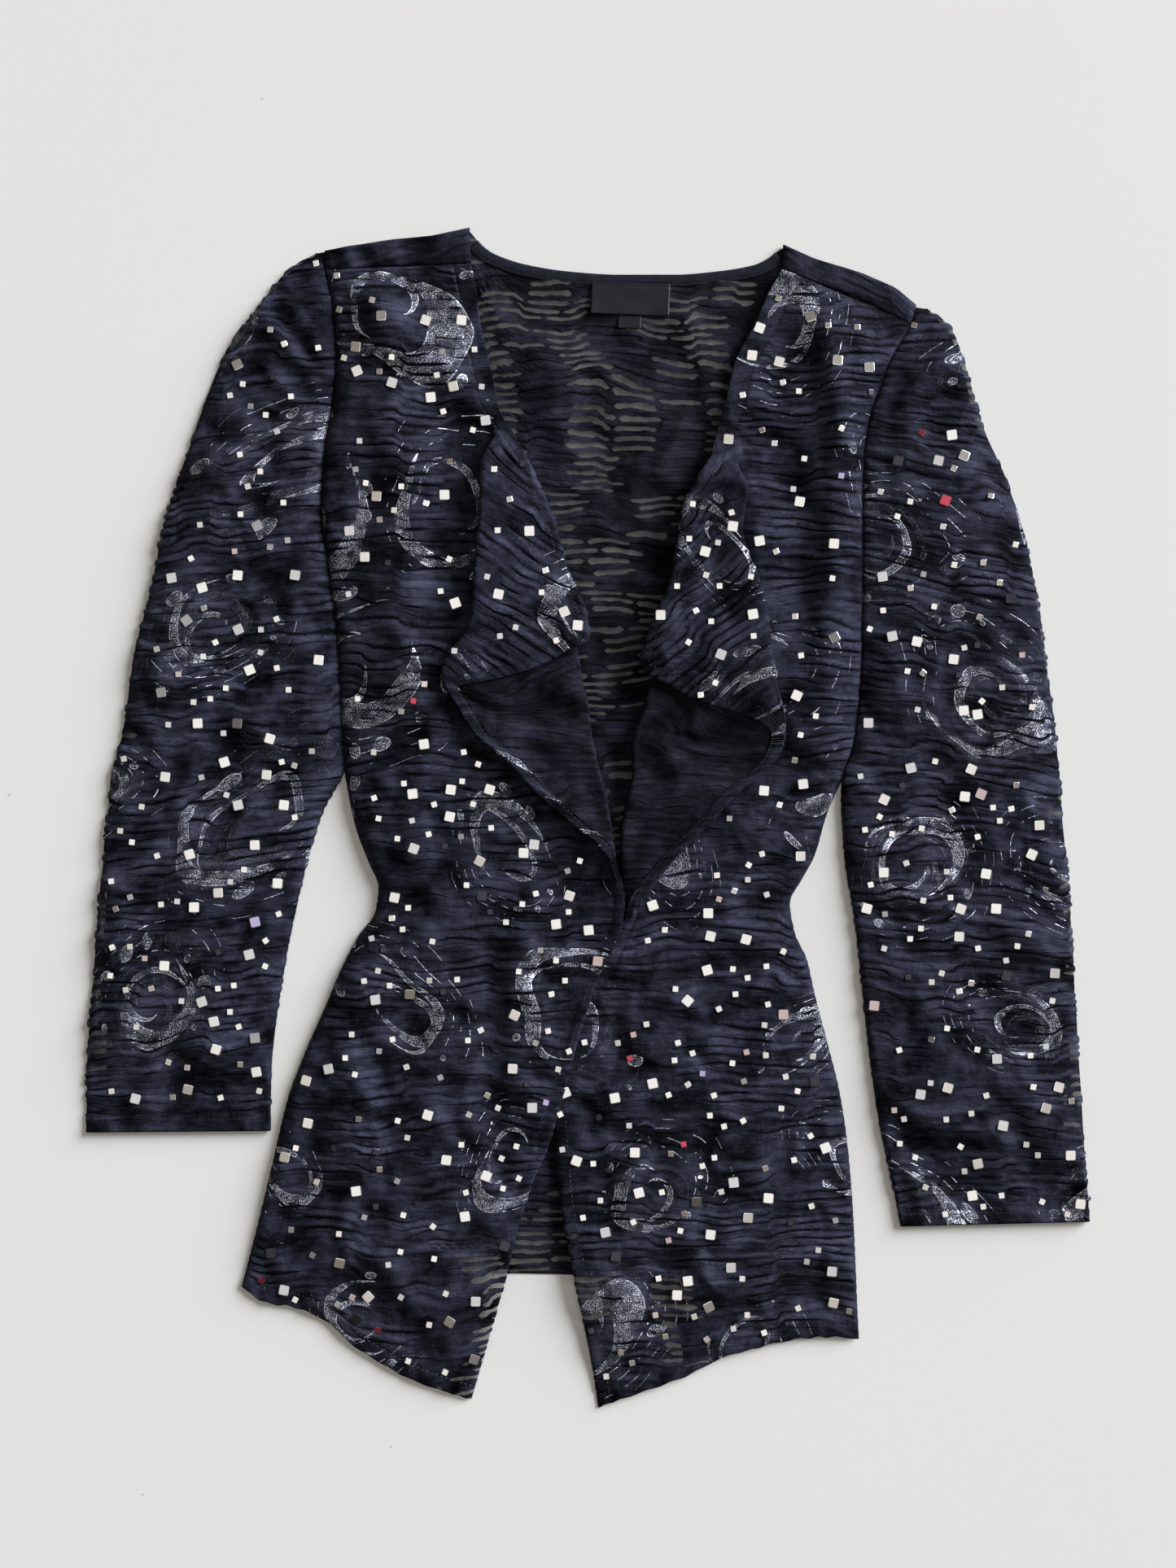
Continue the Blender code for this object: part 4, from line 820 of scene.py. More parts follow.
def back_surface():
    """The plain right side of the back on the floor, then the two strips round the shoulders' folds."""
    columns = np.concatenate([
        np.linspace(RIGHT_SHOULDER[0].x, RIGHT_SHOULDER[-1].x, SHOULDER_COLUMNS),
        np.linspace(RIGHT_SHOULDER[-1].x, LEFT_SHOULDER[0].x, NECK_COLUMNS + 2)[1:-1],
        np.linspace(LEFT_SHOULDER[0].x, LEFT_SHOULDER[-1].x, SHOULDER_COLUMNS),
    ])
    top = smooth_read([p[0] for p in NECKLINE], [p[1] for p in NECKLINE], columns)
    for shoulder in (RIGHT_SHOULDER, LEFT_SHOULDER):
        on_it = (columns >= shoulder[0].x) & (columns <= shoulder[-1].x)
        fold = np.interp(columns, table_column(shoulder, "x"), table_column(shoulder, "fold_y"))
        top = np.where(on_it, fold - WRAP_RADIUS, top)
    share = (columns - columns[0]) / (columns[-1] - columns[0])
    levels = np.linspace(0, 1, BACK_ROWS)[:, None]
    right_x, left_x = (
        side_x(side, side[-1].y + levels * (tip.fold_y - side[-1].y))
        for side, tip in ((RIGHT_SIDE, RIGHT_SHOULDER[0]), (LEFT_SIDE, LEFT_SHOULDER[-1]))
    )
    x = right_x + share * (left_x - right_x)
    hem_x = RIGHT_SIDE[-1].x + share * (LEFT_SIDE[-1].x - RIGHT_SIDE[-1].x)
    low = smooth_read([p[0] for p in BACK_HEM], [p[1] for p in BACK_HEM], hem_x)
    y = low + levels * (top - low)
    flat = np.stack([x, y, np.full_like(x, FLOOR_CLEARANCE)], -1)
    strips = []
    for shoulder in (RIGHT_SHOULDER, LEFT_SHOULDER):
        at = np.linspace(shoulder[0].x, shoulder[-1].x, SHOULDER_COLUMNS)
        fold, seam_x, seam_y = (
            np.interp(at, table_column(shoulder, "x"), table_column(shoulder, name))
            for name in ("fold_y", "seam_x", "seam_y")
        )
        rows = []
        for angle in np.linspace(0, np.pi, WRAP_ROUND_ROWS):
            lean, height = WRAP_RADIUS * (math.sin(angle) - 1), WRAP_RADIUS * (1 - math.cos(angle))
            rows.append(np.stack([at, fold + lean, np.full_like(at, FLOOR_CLEARANCE + height)], -1))
        for share_forward in np.linspace(0, 1, WRAP_FLAT_ROWS)[1:]:
            across = at + share_forward * (seam_x - at)
            down = fold - WRAP_RADIUS + share_forward * (seam_y + SEAM_OVERLAP - fold + WRAP_RADIUS)
            height = 2 * WRAP_RADIUS - SEAM_DEPTH * share_forward ** 4
            rows.append(np.stack([across, down, np.full_like(at, FLOOR_CLEARANCE + height)], -1))
        strips.append(np.array(rows))
    return flat, strips


def crease_height(creases, x, y):
    """The sum of the creases at each point, each fading out along and across its line."""
    total = np.zeros_like(x)
    for c in creases:
        along_x, along_y = c.x1 - c.x0, c.y1 - c.y0
        length = math.hypot(along_x, along_y)
        t = ((x - c.x0) * along_x + (y - c.y0) * along_y) / length ** 2
        across = ((x - c.x0) * along_y - (y - c.y0) * along_x) / length
        beyond = np.maximum(np.maximum(-t, t - 1), 0.0) * length
        total += c.height * np.exp(-((across / c.width) ** 2) - (beyond / (2 * c.width)) ** 2)
    return total


def crinkled(points, normals, u, v, share, seed, foils=(), motifs=(), sheer=0.0, extra=0.0, scallop=0.0,
             sign=1):
    """Raises a plain surface into puckers, flat under each foil. Returns the grid of fields for add_cloth.

    scallop is how far to the left each point moves on a pucker's crest, which makes an edge wavy. sign is -1
    where the right side faces the floor, so that the puckers rise from the wrong side.
    """
    course = pucker_course(u, v, seed)
    strength, depth = (values * share for values in pucker_strength(u, v, course, seed))
    spots = flat_spots(u, v, foils)
    profile = pucker_profile(course)
    bare = 1 - spots
    height = PUCKER_HEIGHT * strength * (profile * bare + FOIL_SPOT_HEIGHT * spots) + extra
    raised = points + sign * normals * height[..., None]
    raised[..., 0] += scallop * (profile * (0.3 + 1.1 * strength) - 0.4)
    return {
        "points": raised,
        "cloth_place": np.stack([u, v, course], -1),
        "cloth_state": np.stack([strength, np.minimum(depth, 1) * bare, sheer * bare], -1),
        "motif_place": motif_places(u, v, motifs, seed),
    }


back_flat, back_strips = back_surface()
back_u, back_v = back_flat[..., 0], -back_flat[..., 1]
back_edge = np.minimum(np.arange(BACK_ROWS)[:, None] * BACK_ROW_PITCH, BACK_EDGE_FADE) / BACK_EDGE_FADE
back_edge = back_edge * smooth_step(0, 8, back_v - back_v[-1])
for from_side in (back_u - back_u[:, :1], back_u[:, -1:] - back_u):
    back_edge = back_edge * smooth_step(0, BACK_EDGE_FADE, from_side)

# The cloth may rise further in the open front, a wedge that widens up to the neck, than under the fronts
opening = (OPENING_TOP_HALF - OPENING_LOW_HALF) * (-OPENING_LOW_Y - back_v) / (OPENING_TOP_Y - OPENING_LOW_Y)
opening = OPENING_LOW_HALF + opening - np.abs(back_u - OPENING_X)
back_height = 0.7 * lumps(back_u, back_v, BACK_SEED) + crease_height(BACK_CREASES, back_u, -back_v)
height_limit = BACK_COVERED_LIMIT + BACK_OPEN_LIMIT * smooth_step(-5, 20, opening)
back_height = np.clip(BACK_LOFT + back_height, 0, height_limit) * back_edge
back_scallop = np.exp(-(back_u[:, -1:] - back_u) / 4) - np.exp(-(back_u - back_u[:, :1]) / 4)
back_scallop = back_scallop * smooth_step(20, 60, back_v) * smooth_step(0, 12, back_v[:1] - back_v)
floorward = np.zeros_like(back_flat) - np.array([0.0, 0.0, 1.0])
back_grids = [crinkled(back_flat, floorward, back_u, back_v, 0.8 * back_edge, BACK_SEED, sheer=BACK_SHEER,
                       extra=back_height, scallop=1.4 * back_scallop, sign=-1)]
column_y = back_flat[:, SHOULDER_COLUMNS + 20, 1]
back_hem_row = int(np.argmin(np.abs(column_y - column_y[0] - BACK_HEM_BAND)))
back_stitches = add_stitches("back_hem_stitches", [
    (back_grids[0]["points"][back_hem_row] + (0, 0, CLOTH + 0.05), -floorward[back_hem_row])])
for strip in back_strips:
    strip_u, strip_v = strip[..., 0], -back_flat[-1, 0, 1] - grid_lengths(strip, 0)
    row_number = np.arange(len(strip))[:, None]
    strip_share = smooth_step(0, WRAP_ROUND_ROWS, row_number) * 0.5
    strip_share = strip_share * smooth_step(len(strip) - 1, len(strip) - 4, row_number)
    back_grids.append(crinkled(strip, unit_normals(strip) * -1, strip_u, strip_v, strip_share, BACK_SEED))
back = add_cloth("back_cloth", back_grids, -1, knit_sides)
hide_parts("back_panel")
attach(back, "root")

# The neck binding: a folded strip of plain black jersey, sewn over the raw edge of the back's neckline on the
# inside and topstitched along its lower edge.
BINDING_END = 5.0
BINDING_COLUMNS, TOPSTITCH_ROW = 110, 8
BindingPoint = namedtuple("BindingPoint", "inset z")
BINDING_SECTION = [
    BindingPoint(0.3, 0.9), BindingPoint(-0.5, 1.1), BindingPoint(-0.6, 1.8), BindingPoint(-0.1, 2.35),
    BindingPoint(0.9, 2.5), BindingPoint(2.6, 2.55), BindingPoint(4.2, 2.5), BindingPoint(5.0, 2.35),
    BindingPoint(5.5, 2.1), BindingPoint(6.0, 2.2), BindingPoint(6.6, 2.25), BindingPoint(7.1, 1.9),
    BindingPoint(7.2, 1.3), BindingPoint(6.6, 0.9),
]


def jersey():
    """Plain cotton-like jersey: matt and even, with a soft highlight along its folds.

    Its wales are 1.2 mm apart and its courses 1 mm, twice as coarse as real ones, so that they show.
    """
    material, tree, surface = new_material("plain_jersey")
    place = add(tree, "Attribute", out="Vector", attribute_name="cloth_place")
    u, v, _ = add(tree, "SeparateXYZ", (place,)).node.outputs
    wale = add(tree, "Math", (add(tree, "Math", (u, 5.2), operation="MULTIPLY"),), operation="SINE")
    loop = add(tree, "Math", (add(tree, "Math", (v, 6.5), operation="MULTIPLY"),), operation="SINE")
    height = add(tree, "Math", (wale, loop), operation="MULTIPLY")
    uneven = add(tree, "TexNoise", {"Vector": place, "Scale": 0.15, "Detail": 3.0}, out="Fac")
    height = add(tree, "Math", (uneven, 14.0, height), operation="MULTIPLY_ADD")
    bump = add(tree, "Bump", {"Strength": 0.6, "Distance": 0.12 * MM, "Height": height})
    colour = add(tree, "Mix", {0: uneven, 6: linear("0b0c15"), 7: linear("20222f")}, 2, data_type="RGBA")
    cloth = add(tree, "BsdfPrincipled", {
        "Base Color": colour, "Roughness": 0.8, "Specular IOR Level": 0.15, "Normal": bump,
        "Sheen Weight": 0.04, "Sheen Roughness": 0.4, "Sheen Tint": linear("b4b9d0"),
    })
    tree.links.new(cloth, surface)
    return material


def plain_fields(points, u, v):
    """The fields of a piece without puckers, slits or print."""
    nothing = np.zeros_like(points)
    return {"points": points, "cloth_place": np.stack([u, v, nothing[..., 0]], -1), "cloth_state": nothing,
            "motif_place": motif_places(u, v, (), 0)}


def binding_surface():
    """The binding's closed section carried along the neckline, as a grid of sections by places."""
    x = np.linspace(NECKLINE[0][0] + BINDING_END, NECKLINE[-1][0] - BINDING_END, BINDING_COLUMNS)
    y = smooth_read([p[0] for p in NECKLINE], [p[1] for p in NECKLINE], x)
    slope = np.gradient(y, x)
    reach = np.hypot(1.0, slope)
    ripple = 0.12 * soft_noise(x / 7, np.zeros_like(x), 5)
    rows = []
    for point in [*BINDING_SECTION, BINDING_SECTION[0]]:
        rows.append(np.stack([x + point.inset * slope / reach, y - point.inset / reach,
                              point.z + ripple * (point.z > 2)], -1))
    return np.array(rows)


binding_points = binding_surface()
binding = add_cloth("neck_binding_jersey", [plain_fields(
    binding_points, grid_lengths(binding_points, 1), grid_lengths(binding_points, 0))], 1, (jersey(),))
binding.modifiers.clear()
binding_fill = bmesh.new()
binding_fill.from_mesh(binding.data)
bmesh.ops.remove_doubles(binding_fill, verts=binding_fill.verts, dist=0.001 * MM)
bmesh.ops.holes_fill(binding_fill, edges=binding_fill.edges, sides=0)
bmesh.ops.recalc_face_normals(binding_fill, faces=binding_fill.faces)
binding_fill.to_mesh(binding.data)
binding_fill.free()
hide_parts("neck_binding")
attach(binding, "root")
binding_stitches = add_stitches("binding_stitches", [
    (binding_points[TOPSTITCH_ROW] + (0, 0, 0.1), np.tile((0.0, 0.0, 1.0), (BINDING_COLUMNS, 1)))])

# The label and the tab under it: two bare rectangles of black woven satin, with soft folded ends, sewn down
# along their upper edges and lying on the back below the binding.
LABEL_PLACE, LABEL_SIZE, LABEL_TURN = (27.5, 337.5), (51.0, 20.5), -2.0
TAB_PLACE, TAB_SIZE, TAB_TURN = (27.0, 323.6), (15.0, 10.0), -1.5
LABEL_THICKNESS = 0.4


def woven_satin():
    """Woven polyester satin: tight floats that catch the light in a broad band.

    Its ribs are 0.7 mm apart, several times as coarse as real ones, so that they show.
    """
    material, tree, surface = new_material("woven_label_satin")
    place = add(tree, "Attribute", out="Vector", attribute_name="cloth_place")
    u, v, _ = add(tree, "SeparateXYZ", (place,)).node.outputs
    rib = add(tree, "Math", (add(tree, "Math", (v, 9.0), operation="MULTIPLY"),), operation="SINE")
    warp_point = add(tree, "CombineXYZ", (u, add(tree, "Math", (v, 8.0), operation="MULTIPLY"), 0.0))
    warp = add(tree, "TexNoise", {"Vector": warp_point, "Scale": 0.9}, out="Fac")
    height = add(tree, "Math", (rib, 0.3, warp), operation="MULTIPLY_ADD")
    bump = add(tree, "Bump", {"Strength": 0.4, "Distance": 0.06 * MM, "Height": height})
    colour = add(tree, "Mix", {0: warp, 6: linear("08080f"), 7: linear("16161f")}, 2, data_type="RGBA")
    satin = add(tree, "BsdfPrincipled", {
        "Base Color": colour, "Roughness": 0.5, "Specular IOR Level": 0.25, "Normal": bump,
    })
    tree.links.new(satin, surface)
    return material


def add_label(name, node, middle, size, turn, height, lift, material, seed):
    """A bare woven rectangle, sewn down at its upper edge and curling up a little elsewhere."""
    columns, rows = int(size[0]) + 1, int(size[1]) * 2 + 1
    across, down = np.meshgrid(np.linspace(-0.5, 0.5, columns), np.linspace(0.5, -0.5, rows))
    x, y = across * size[0], down * size[1]
    wave = 0.22 * soft_noise(x / 13 + 40, y / 9 + 40, seed)
    curl = lift * (0.5 - down) ** 2 * (0.35 + (2 * across) ** 4)
    pinch = -0.25 * np.exp(-((0.5 - down) * size[1] / 1.2 - 1) ** 2)
    angle = math.radians(turn)
    points = np.stack([middle[0] + x * math.cos(angle) - y * math.sin(angle),
                       middle[1] + x * math.sin(angle) + y * math.cos(angle),
                       height + wave + curl + pinch], -1)
    label = add_cloth(name, [plain_fields(points, x, y)], -1, (material,))
    label.modifiers["Cloth"].thickness = LABEL_THICKNESS * MM
    label.modifiers["Cloth"].material_offset = 0
    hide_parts(node)
    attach(label, "root")
    inset = [int(rows * 0.06)] * (columns - 4)
    path = points[inset, np.arange(2, columns - 2)] + (0, 0, 0.05)
    stitches = add_stitches(name + "_stitches", [(path, np.tile((0.0, 0.0, 1.0), (len(path), 1)))])
    return label, stitches


satin = woven_satin()
label, label_stitches = add_label("bare_label", "maker_label", LABEL_PLACE, LABEL_SIZE, LABEL_TURN, 3.3, 0.7,
                                  satin, 21)
tab, tab_stitches = add_label("bare_tab", "size_tab", TAB_PLACE, TAB_SIZE, TAB_TURN, 2.5, 0.5, satin, 22)

# The sleeves: each one piece of the knit, folded flat along its outer edge, its underarm seam along the
# inner one, set into the armhole and hemmed at the cuff.

# A row is one level of a sleeve: how far up its inner and its outer end lie, and the x of both
SleeveRow = namedtuple("SleeveRow", "y_in y_out inner outer")
RIGHT_SLEEVE = [
    SleeveRow(368, 367, -171.5, -177), SleeveRow(358, 355, -170.5, -196), SleeveRow(332, 330, -165.5, -216),
    SleeveRow(300, 296, -163.5, -239), SleeveRow(268, 262, -166.5, -252), SleeveRow(236, 226, -171.5, -264),
    SleeveRow(204, 192, -173.5, -275), SleeveRow(162, 150, -168.5, -284), SleeveRow(114, 104, -163.5, -295),
    SleeveRow(60, 54, -160.5, -303), SleeveRow(34, 28, -160, -310), SleeveRow(4, -2, -174, -313),
    SleeveRow(-29, -35, -184, -316), SleeveRow(-77, -84, -195, -320), SleeveRow(-124, -132, -203, -324),
    SleeveRow(-161, -168, -207, -326), SleeveRow(-203, -204, -208, -326),
]
LEFT_SLEEVE = [
    SleeveRow(332, 331, 214, 221), SleeveRow(320, 318, 209.5, 236), SleeveRow(300, 294, 197.5, 245),
    SleeveRow(279, 270, 189.5, 252), SleeveRow(263, 250, 183.5, 259), SleeveRow(236, 222, 179.5, 271),
    SleeveRow(204, 190, 178.5, 282), SleeveRow(162, 146, 178.5, 291), SleeveRow(109, 94, 178.5, 299),
    SleeveRow(56, 42, 174.5, 305), SleeveRow(28, 16, 167, 307), SleeveRow(12, 2, 166, 308),
    SleeveRow(-24, -32, 168, 311), SleeveRow(-61, -68, 174, 314), SleeveRow(-103, -108, 179, 316),
    SleeveRow(-151, -154, 184, 319), SleeveRow(-204, -205, 192, 322), SleeveRow(-236, -236, 199, 324),
    SleeveRow(-265, -262, 205, 326),
]
SLEEVE_PITCH = 1.4
SEWN_Z, LOFT_Z = 3.9, 8.6
SLEEVE_SEAM_Z = 2.6
SLEEVE_UNDER_Z, SLEEVE_FOLD_RADIUS = 0.5, 1.6
SLEEVE_ROUND = 30.0
SLEEVE_LOFT_ACROSS, SLEEVE_LOFT_DOWN = 60.0, 75.0
ARMHOLE_GAP, SEWN_RADIUS = 0.5, 0.3
UNDERSIDE_SHARE, LEAST_Z = 0.28, 0.03
UNDERARM_Y, SLEEVE_CLOSING, SLEEVE_GAP_Y = 150.0, 12.0, 33.0
CUFF_HEM = 9.5
END_COLUMNS, OVER_COLUMNS, FOLD_COLUMNS, UNDER_COLUMNS = 4, 50, 9, 14
SLEEVE_CREASES = [
    Crease(-206, 351, -167, 299, 5, 3.2),
    Crease(-212, 338, -166, 284, 4, -2.4),
    Crease(-213, 327, -166, 270, 5, 3.4),
    Crease(-206, 290, -167, 244, 5, 3.0),
    Crease(-221, 270, -170, 226, 5, -1.4),
    Crease(-218, 252, -172, 210, 5, 1.6),
    Crease(-205, 176, -170, 160, 5, 1.4),
    Crease(242, 302, 201, 272, 5, 2.8),
    Crease(250, 286, 192, 250, 5, -2.2),
    Crease(252, 268, 186, 232, 5, 2.8),
    Crease(245, 225, 184, 200, 6, 1.5),
    Crease(230, 160, 182, 176, 6, 1.4),
    Crease(-183, 330, -188, 215, 9, -2.1),
    Crease(-190, 250, -185, 120, 10, 1.4),
    Crease(-186, 45, -240, 5, 9, -1.4),
    Crease(-215, 60, -262, 100, 12, 1.0),
    Crease(-230, -60, -300, -95, 13, -1.0),
    Crease(-222, -120, -290, -140, 10, 1.0),
    Crease(196, 300, 192, 200, 9, -2.1),
    Crease(206, 250, 200, 130, 10, 1.4),
    Crease(186, 30, 250, 0, 9, -1.4),
    Crease(210, 60, 275, 95, 12, 1.0),
    Crease(200, -80, 300, -120, 13, -1.0),
    Crease(205, -170, 305, -190, 11, 1.0),
]


def fill_rows(table, spacing_column, pitch):
    """Reads every column of a table at rows no further apart than the pitch, as arrays one column wide."""
    places = table_column(table, spacing_column)
    levels = [0.0]
    for i, gap in enumerate(np.abs(np.diff(places))):
        parts = max(1, math.ceil(gap / pitch))
        levels += [i + (k + 1) / parts for k in range(parts)]
    knots = np.arange(len(table))
    return {name: smooth_read(knots, table_column(table, name), levels) for name in table[0]._fields}


def edge_round(distance, width):
    """1 at a rounded edge, 0 once the cloth has reached its full height."""
    q = np.clip(distance / width, 0.0, 1.0)
    return 1 - np.sqrt(1 - (1 - q) ** 2)


def sleeve_surface(table, side):
    """A sleeve's plain right side: over the upper layer, round the outer fold and back under to the seam."""
    row = {name: values[:, None] for name, values in fill_rows(table, "y_out", SLEEVE_PITCH).items()}
    outward = math.copysign(1.0, table[0].outer - table[0].inner)
    closed = 1 - smooth_step(UNDERARM_Y - SLEEVE_CLOSING, UNDERARM_Y, row["y_in"])
    beside = side_x(side, row["y_in"]) + outward * ARMHOLE_GAP
    inner = np.where(row["y_in"] < SLEEVE_GAP_Y, row["inner"], beside)
    radius = SLEEVE_FOLD_RADIUS
    start_radius = radius * closed + SEWN_RADIUS * (1 - closed)
    width = np.abs(row["outer"] - inner) - radius
    from_cuff = row["y_out"] - row["y_out"][-1]
    fullness = smooth_step(0, SLEEVE_LOFT_ACROSS, width) * smooth_step(0, SLEEVE_LOFT_DOWN, from_cuff)
    top = SEWN_Z + (LOFT_Z - SEWN_Z) * fullness
    middle_z = SLEEVE_UNDER_Z + radius
    fold_top = SLEEVE_UNDER_Z + 2 * radius
    inner_end = SLEEVE_SEAM_Z + (fold_top - SLEEVE_SEAM_Z) * closed
    over = np.linspace(0, 1, OVER_COLUMNS)[None, :]
    over = 0.5 - 0.5 * np.cos(np.pi * over) * (0.6 + 0.4 * np.abs(np.cos(np.pi * over)))
    over_z = top - (top - inner_end) * edge_round(over * width, SLEEVE_ROUND)
    over_z = over_z - (top - fold_top) * edge_round((1 - over) * width, SLEEVE_ROUND)
    start = np.linspace(0, np.pi / 2, END_COLUMNS)[None, :-1]
    start_x = start_radius * (1 - np.cos(start)) - start_radius
    start_z = inner_end - closed * radius * (1 - np.sin(start))
    fold = np.linspace(np.pi / 2, -np.pi / 2, FOLD_COLUMNS)[None, 1:-1]
    under = np.linspace(1, 0, UNDER_COLUMNS)[None, :]
    end = np.linspace(np.pi / 2, 0, END_COLUMNS)[None, 1:]
    end_z = SLEEVE_UNDER_Z + closed * radius * (1 - np.sin(end))
    across = np.concatenate([start_x, over * width, width + radius * np.cos(fold), under * width,
                             start_radius * (1 - np.cos(end)) - start_radius], axis=1)
    flat = np.ones_like(width)
    z = np.concatenate([start_z, over_z, middle_z + radius * np.sin(fold) * flat,
                        SLEEVE_UNDER_Z * np.ones_like(under) * flat, end_z], axis=1)
    share = np.clip(across / width, 0, 1)
    x = inner + outward * across
    y = row["y_in"] + (row["y_out"] - row["y_in"]) * share
    is_over = np.arange(x.shape[1]) < END_COLUMNS + OVER_COLUMNS
    inside = smooth_step(4, 22, across) * smooth_step(2, 22, width - across) * smooth_step(0, 30, from_cuff)
    z = z + np.where(is_over, inside, 0) * crease_height(SLEEVE_CREASES, x, y)
    return np.stack([x, y, z], -1), from_cuff


def close_to_line(distance, width):
    """1 on a line, fading to 0 about two widths away from it."""
    return np.exp(-(distance / width) ** 2)


def add_sleeve(name, node, table, side, facing, seed):
    """Dresses one sleeve: its crinkled cloth, foil squares and cuff stitches."""
    plain, from_cuff = sleeve_surface(table, side)
    u, v = grid_lengths(plain, 1), grid_lengths(plain, 0)
    v = np.repeat(v[:, v.shape[1] // 4, None], v.shape[1], axis=1)
    underside = np.arange(plain.shape[1]) >= END_COLUMNS + OVER_COLUMNS + FOLD_COLUMNS - 2
    from_cuff = from_cuff * np.ones_like(u)
    share = np.where(underside, UNDERSIDE_SHARE, 1.0) * smooth_step(0, 5, v) * smooth_step(4, 12, from_cuff)
    for from_seam in (u, u[:, -1:] - u):
        share = share * np.clip(smooth_step(0, 5, from_seam) + 0.35, 0, 1)
    groove = 0.25 * smooth_step(CUFF_HEM, CUFF_HEM - 2, from_cuff)
    groove = groove - GROOVE_DEPTH * close_to_line(from_cuff - CUFF_HEM, GROOVE_WIDTH)
    groove = groove + 0.18 * np.sin(u * 1.15) * close_to_line(from_cuff - CUFF_HEM, PINCH_WIDTH)
    groove = np.where(underside, 0.0, groove)
    inside = np.where(underside, 0.0, smooth_step(0, 20, u) * smooth_step(0, 12, from_cuff))
    plain[..., 2] += inside * lumps(plain[..., 0], plain[..., 1], seed)
    normals = unit_normals(plain) * facing
    foils = scatter_foils(plain, normals, seed)
    motifs = glitter_motifs(u, v, seed + 1)
    at_fold = close_to_line(u - u[:, [END_COLUMNS + OVER_COLUMNS + FOLD_COLUMNS // 2]], 9)
    share = share * (1 + 0.7 * at_fold)
    from_seam = np.minimum(u, u[:, -1:] - u)
    scallop = np.exp(-from_seam / 4) * smooth_step(SLEEVE_GAP_Y + 10, SLEEVE_GAP_Y - 20, plain[..., 1])
    scallop = scallop * smooth_step(4, 14, from_cuff) * 1.1 * np.sign(plain[0, 0, 0])
    sheer = 0.75 * at_fold * smooth_step(CUFF_HEM, CUFF_HEM + 4, from_cuff)
    grid = crinkled(plain, normals, u, v, share, seed, foils, motifs, sheer, groove, -scallop)
    grid["points"][..., 2] = np.maximum(grid["points"][..., 2], LEAST_Z)
    piece = add_cloth(name, [grid], facing, knit_sides)
    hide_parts(node)
    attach(piece, "root")
    squares = add_foils(name + "_foils", grid["points"], normals, foils, seed + 2)
    hem_row = int(np.argmin(np.abs(from_cuff[:, 0] - CUFF_HEM)))
    upper = slice(END_COLUMNS, END_COLUMNS + OVER_COLUMNS)
    stitches = add_stitches(name + "_stitches", [
        (grid["points"][k, upper], normals[k, upper]) for k in (hem_row, hem_row + 2)])


add_sleeve("sleeve_right_cloth", "sleeve_right", RIGHT_SLEEVE, RIGHT_SIDE, 1, 31)
add_sleeve("sleeve_left_cloth", "sleeve_left", LEFT_SLEEVE, LEFT_SIDE, -1, 37)

# The fronts: each one wide piece of the knit, sewn to the back at the shoulder, armhole and side. Over the
# body its free part falls back on itself as a waterfall: a revers with the wrong side up, and on it a lapel,
# right side up.

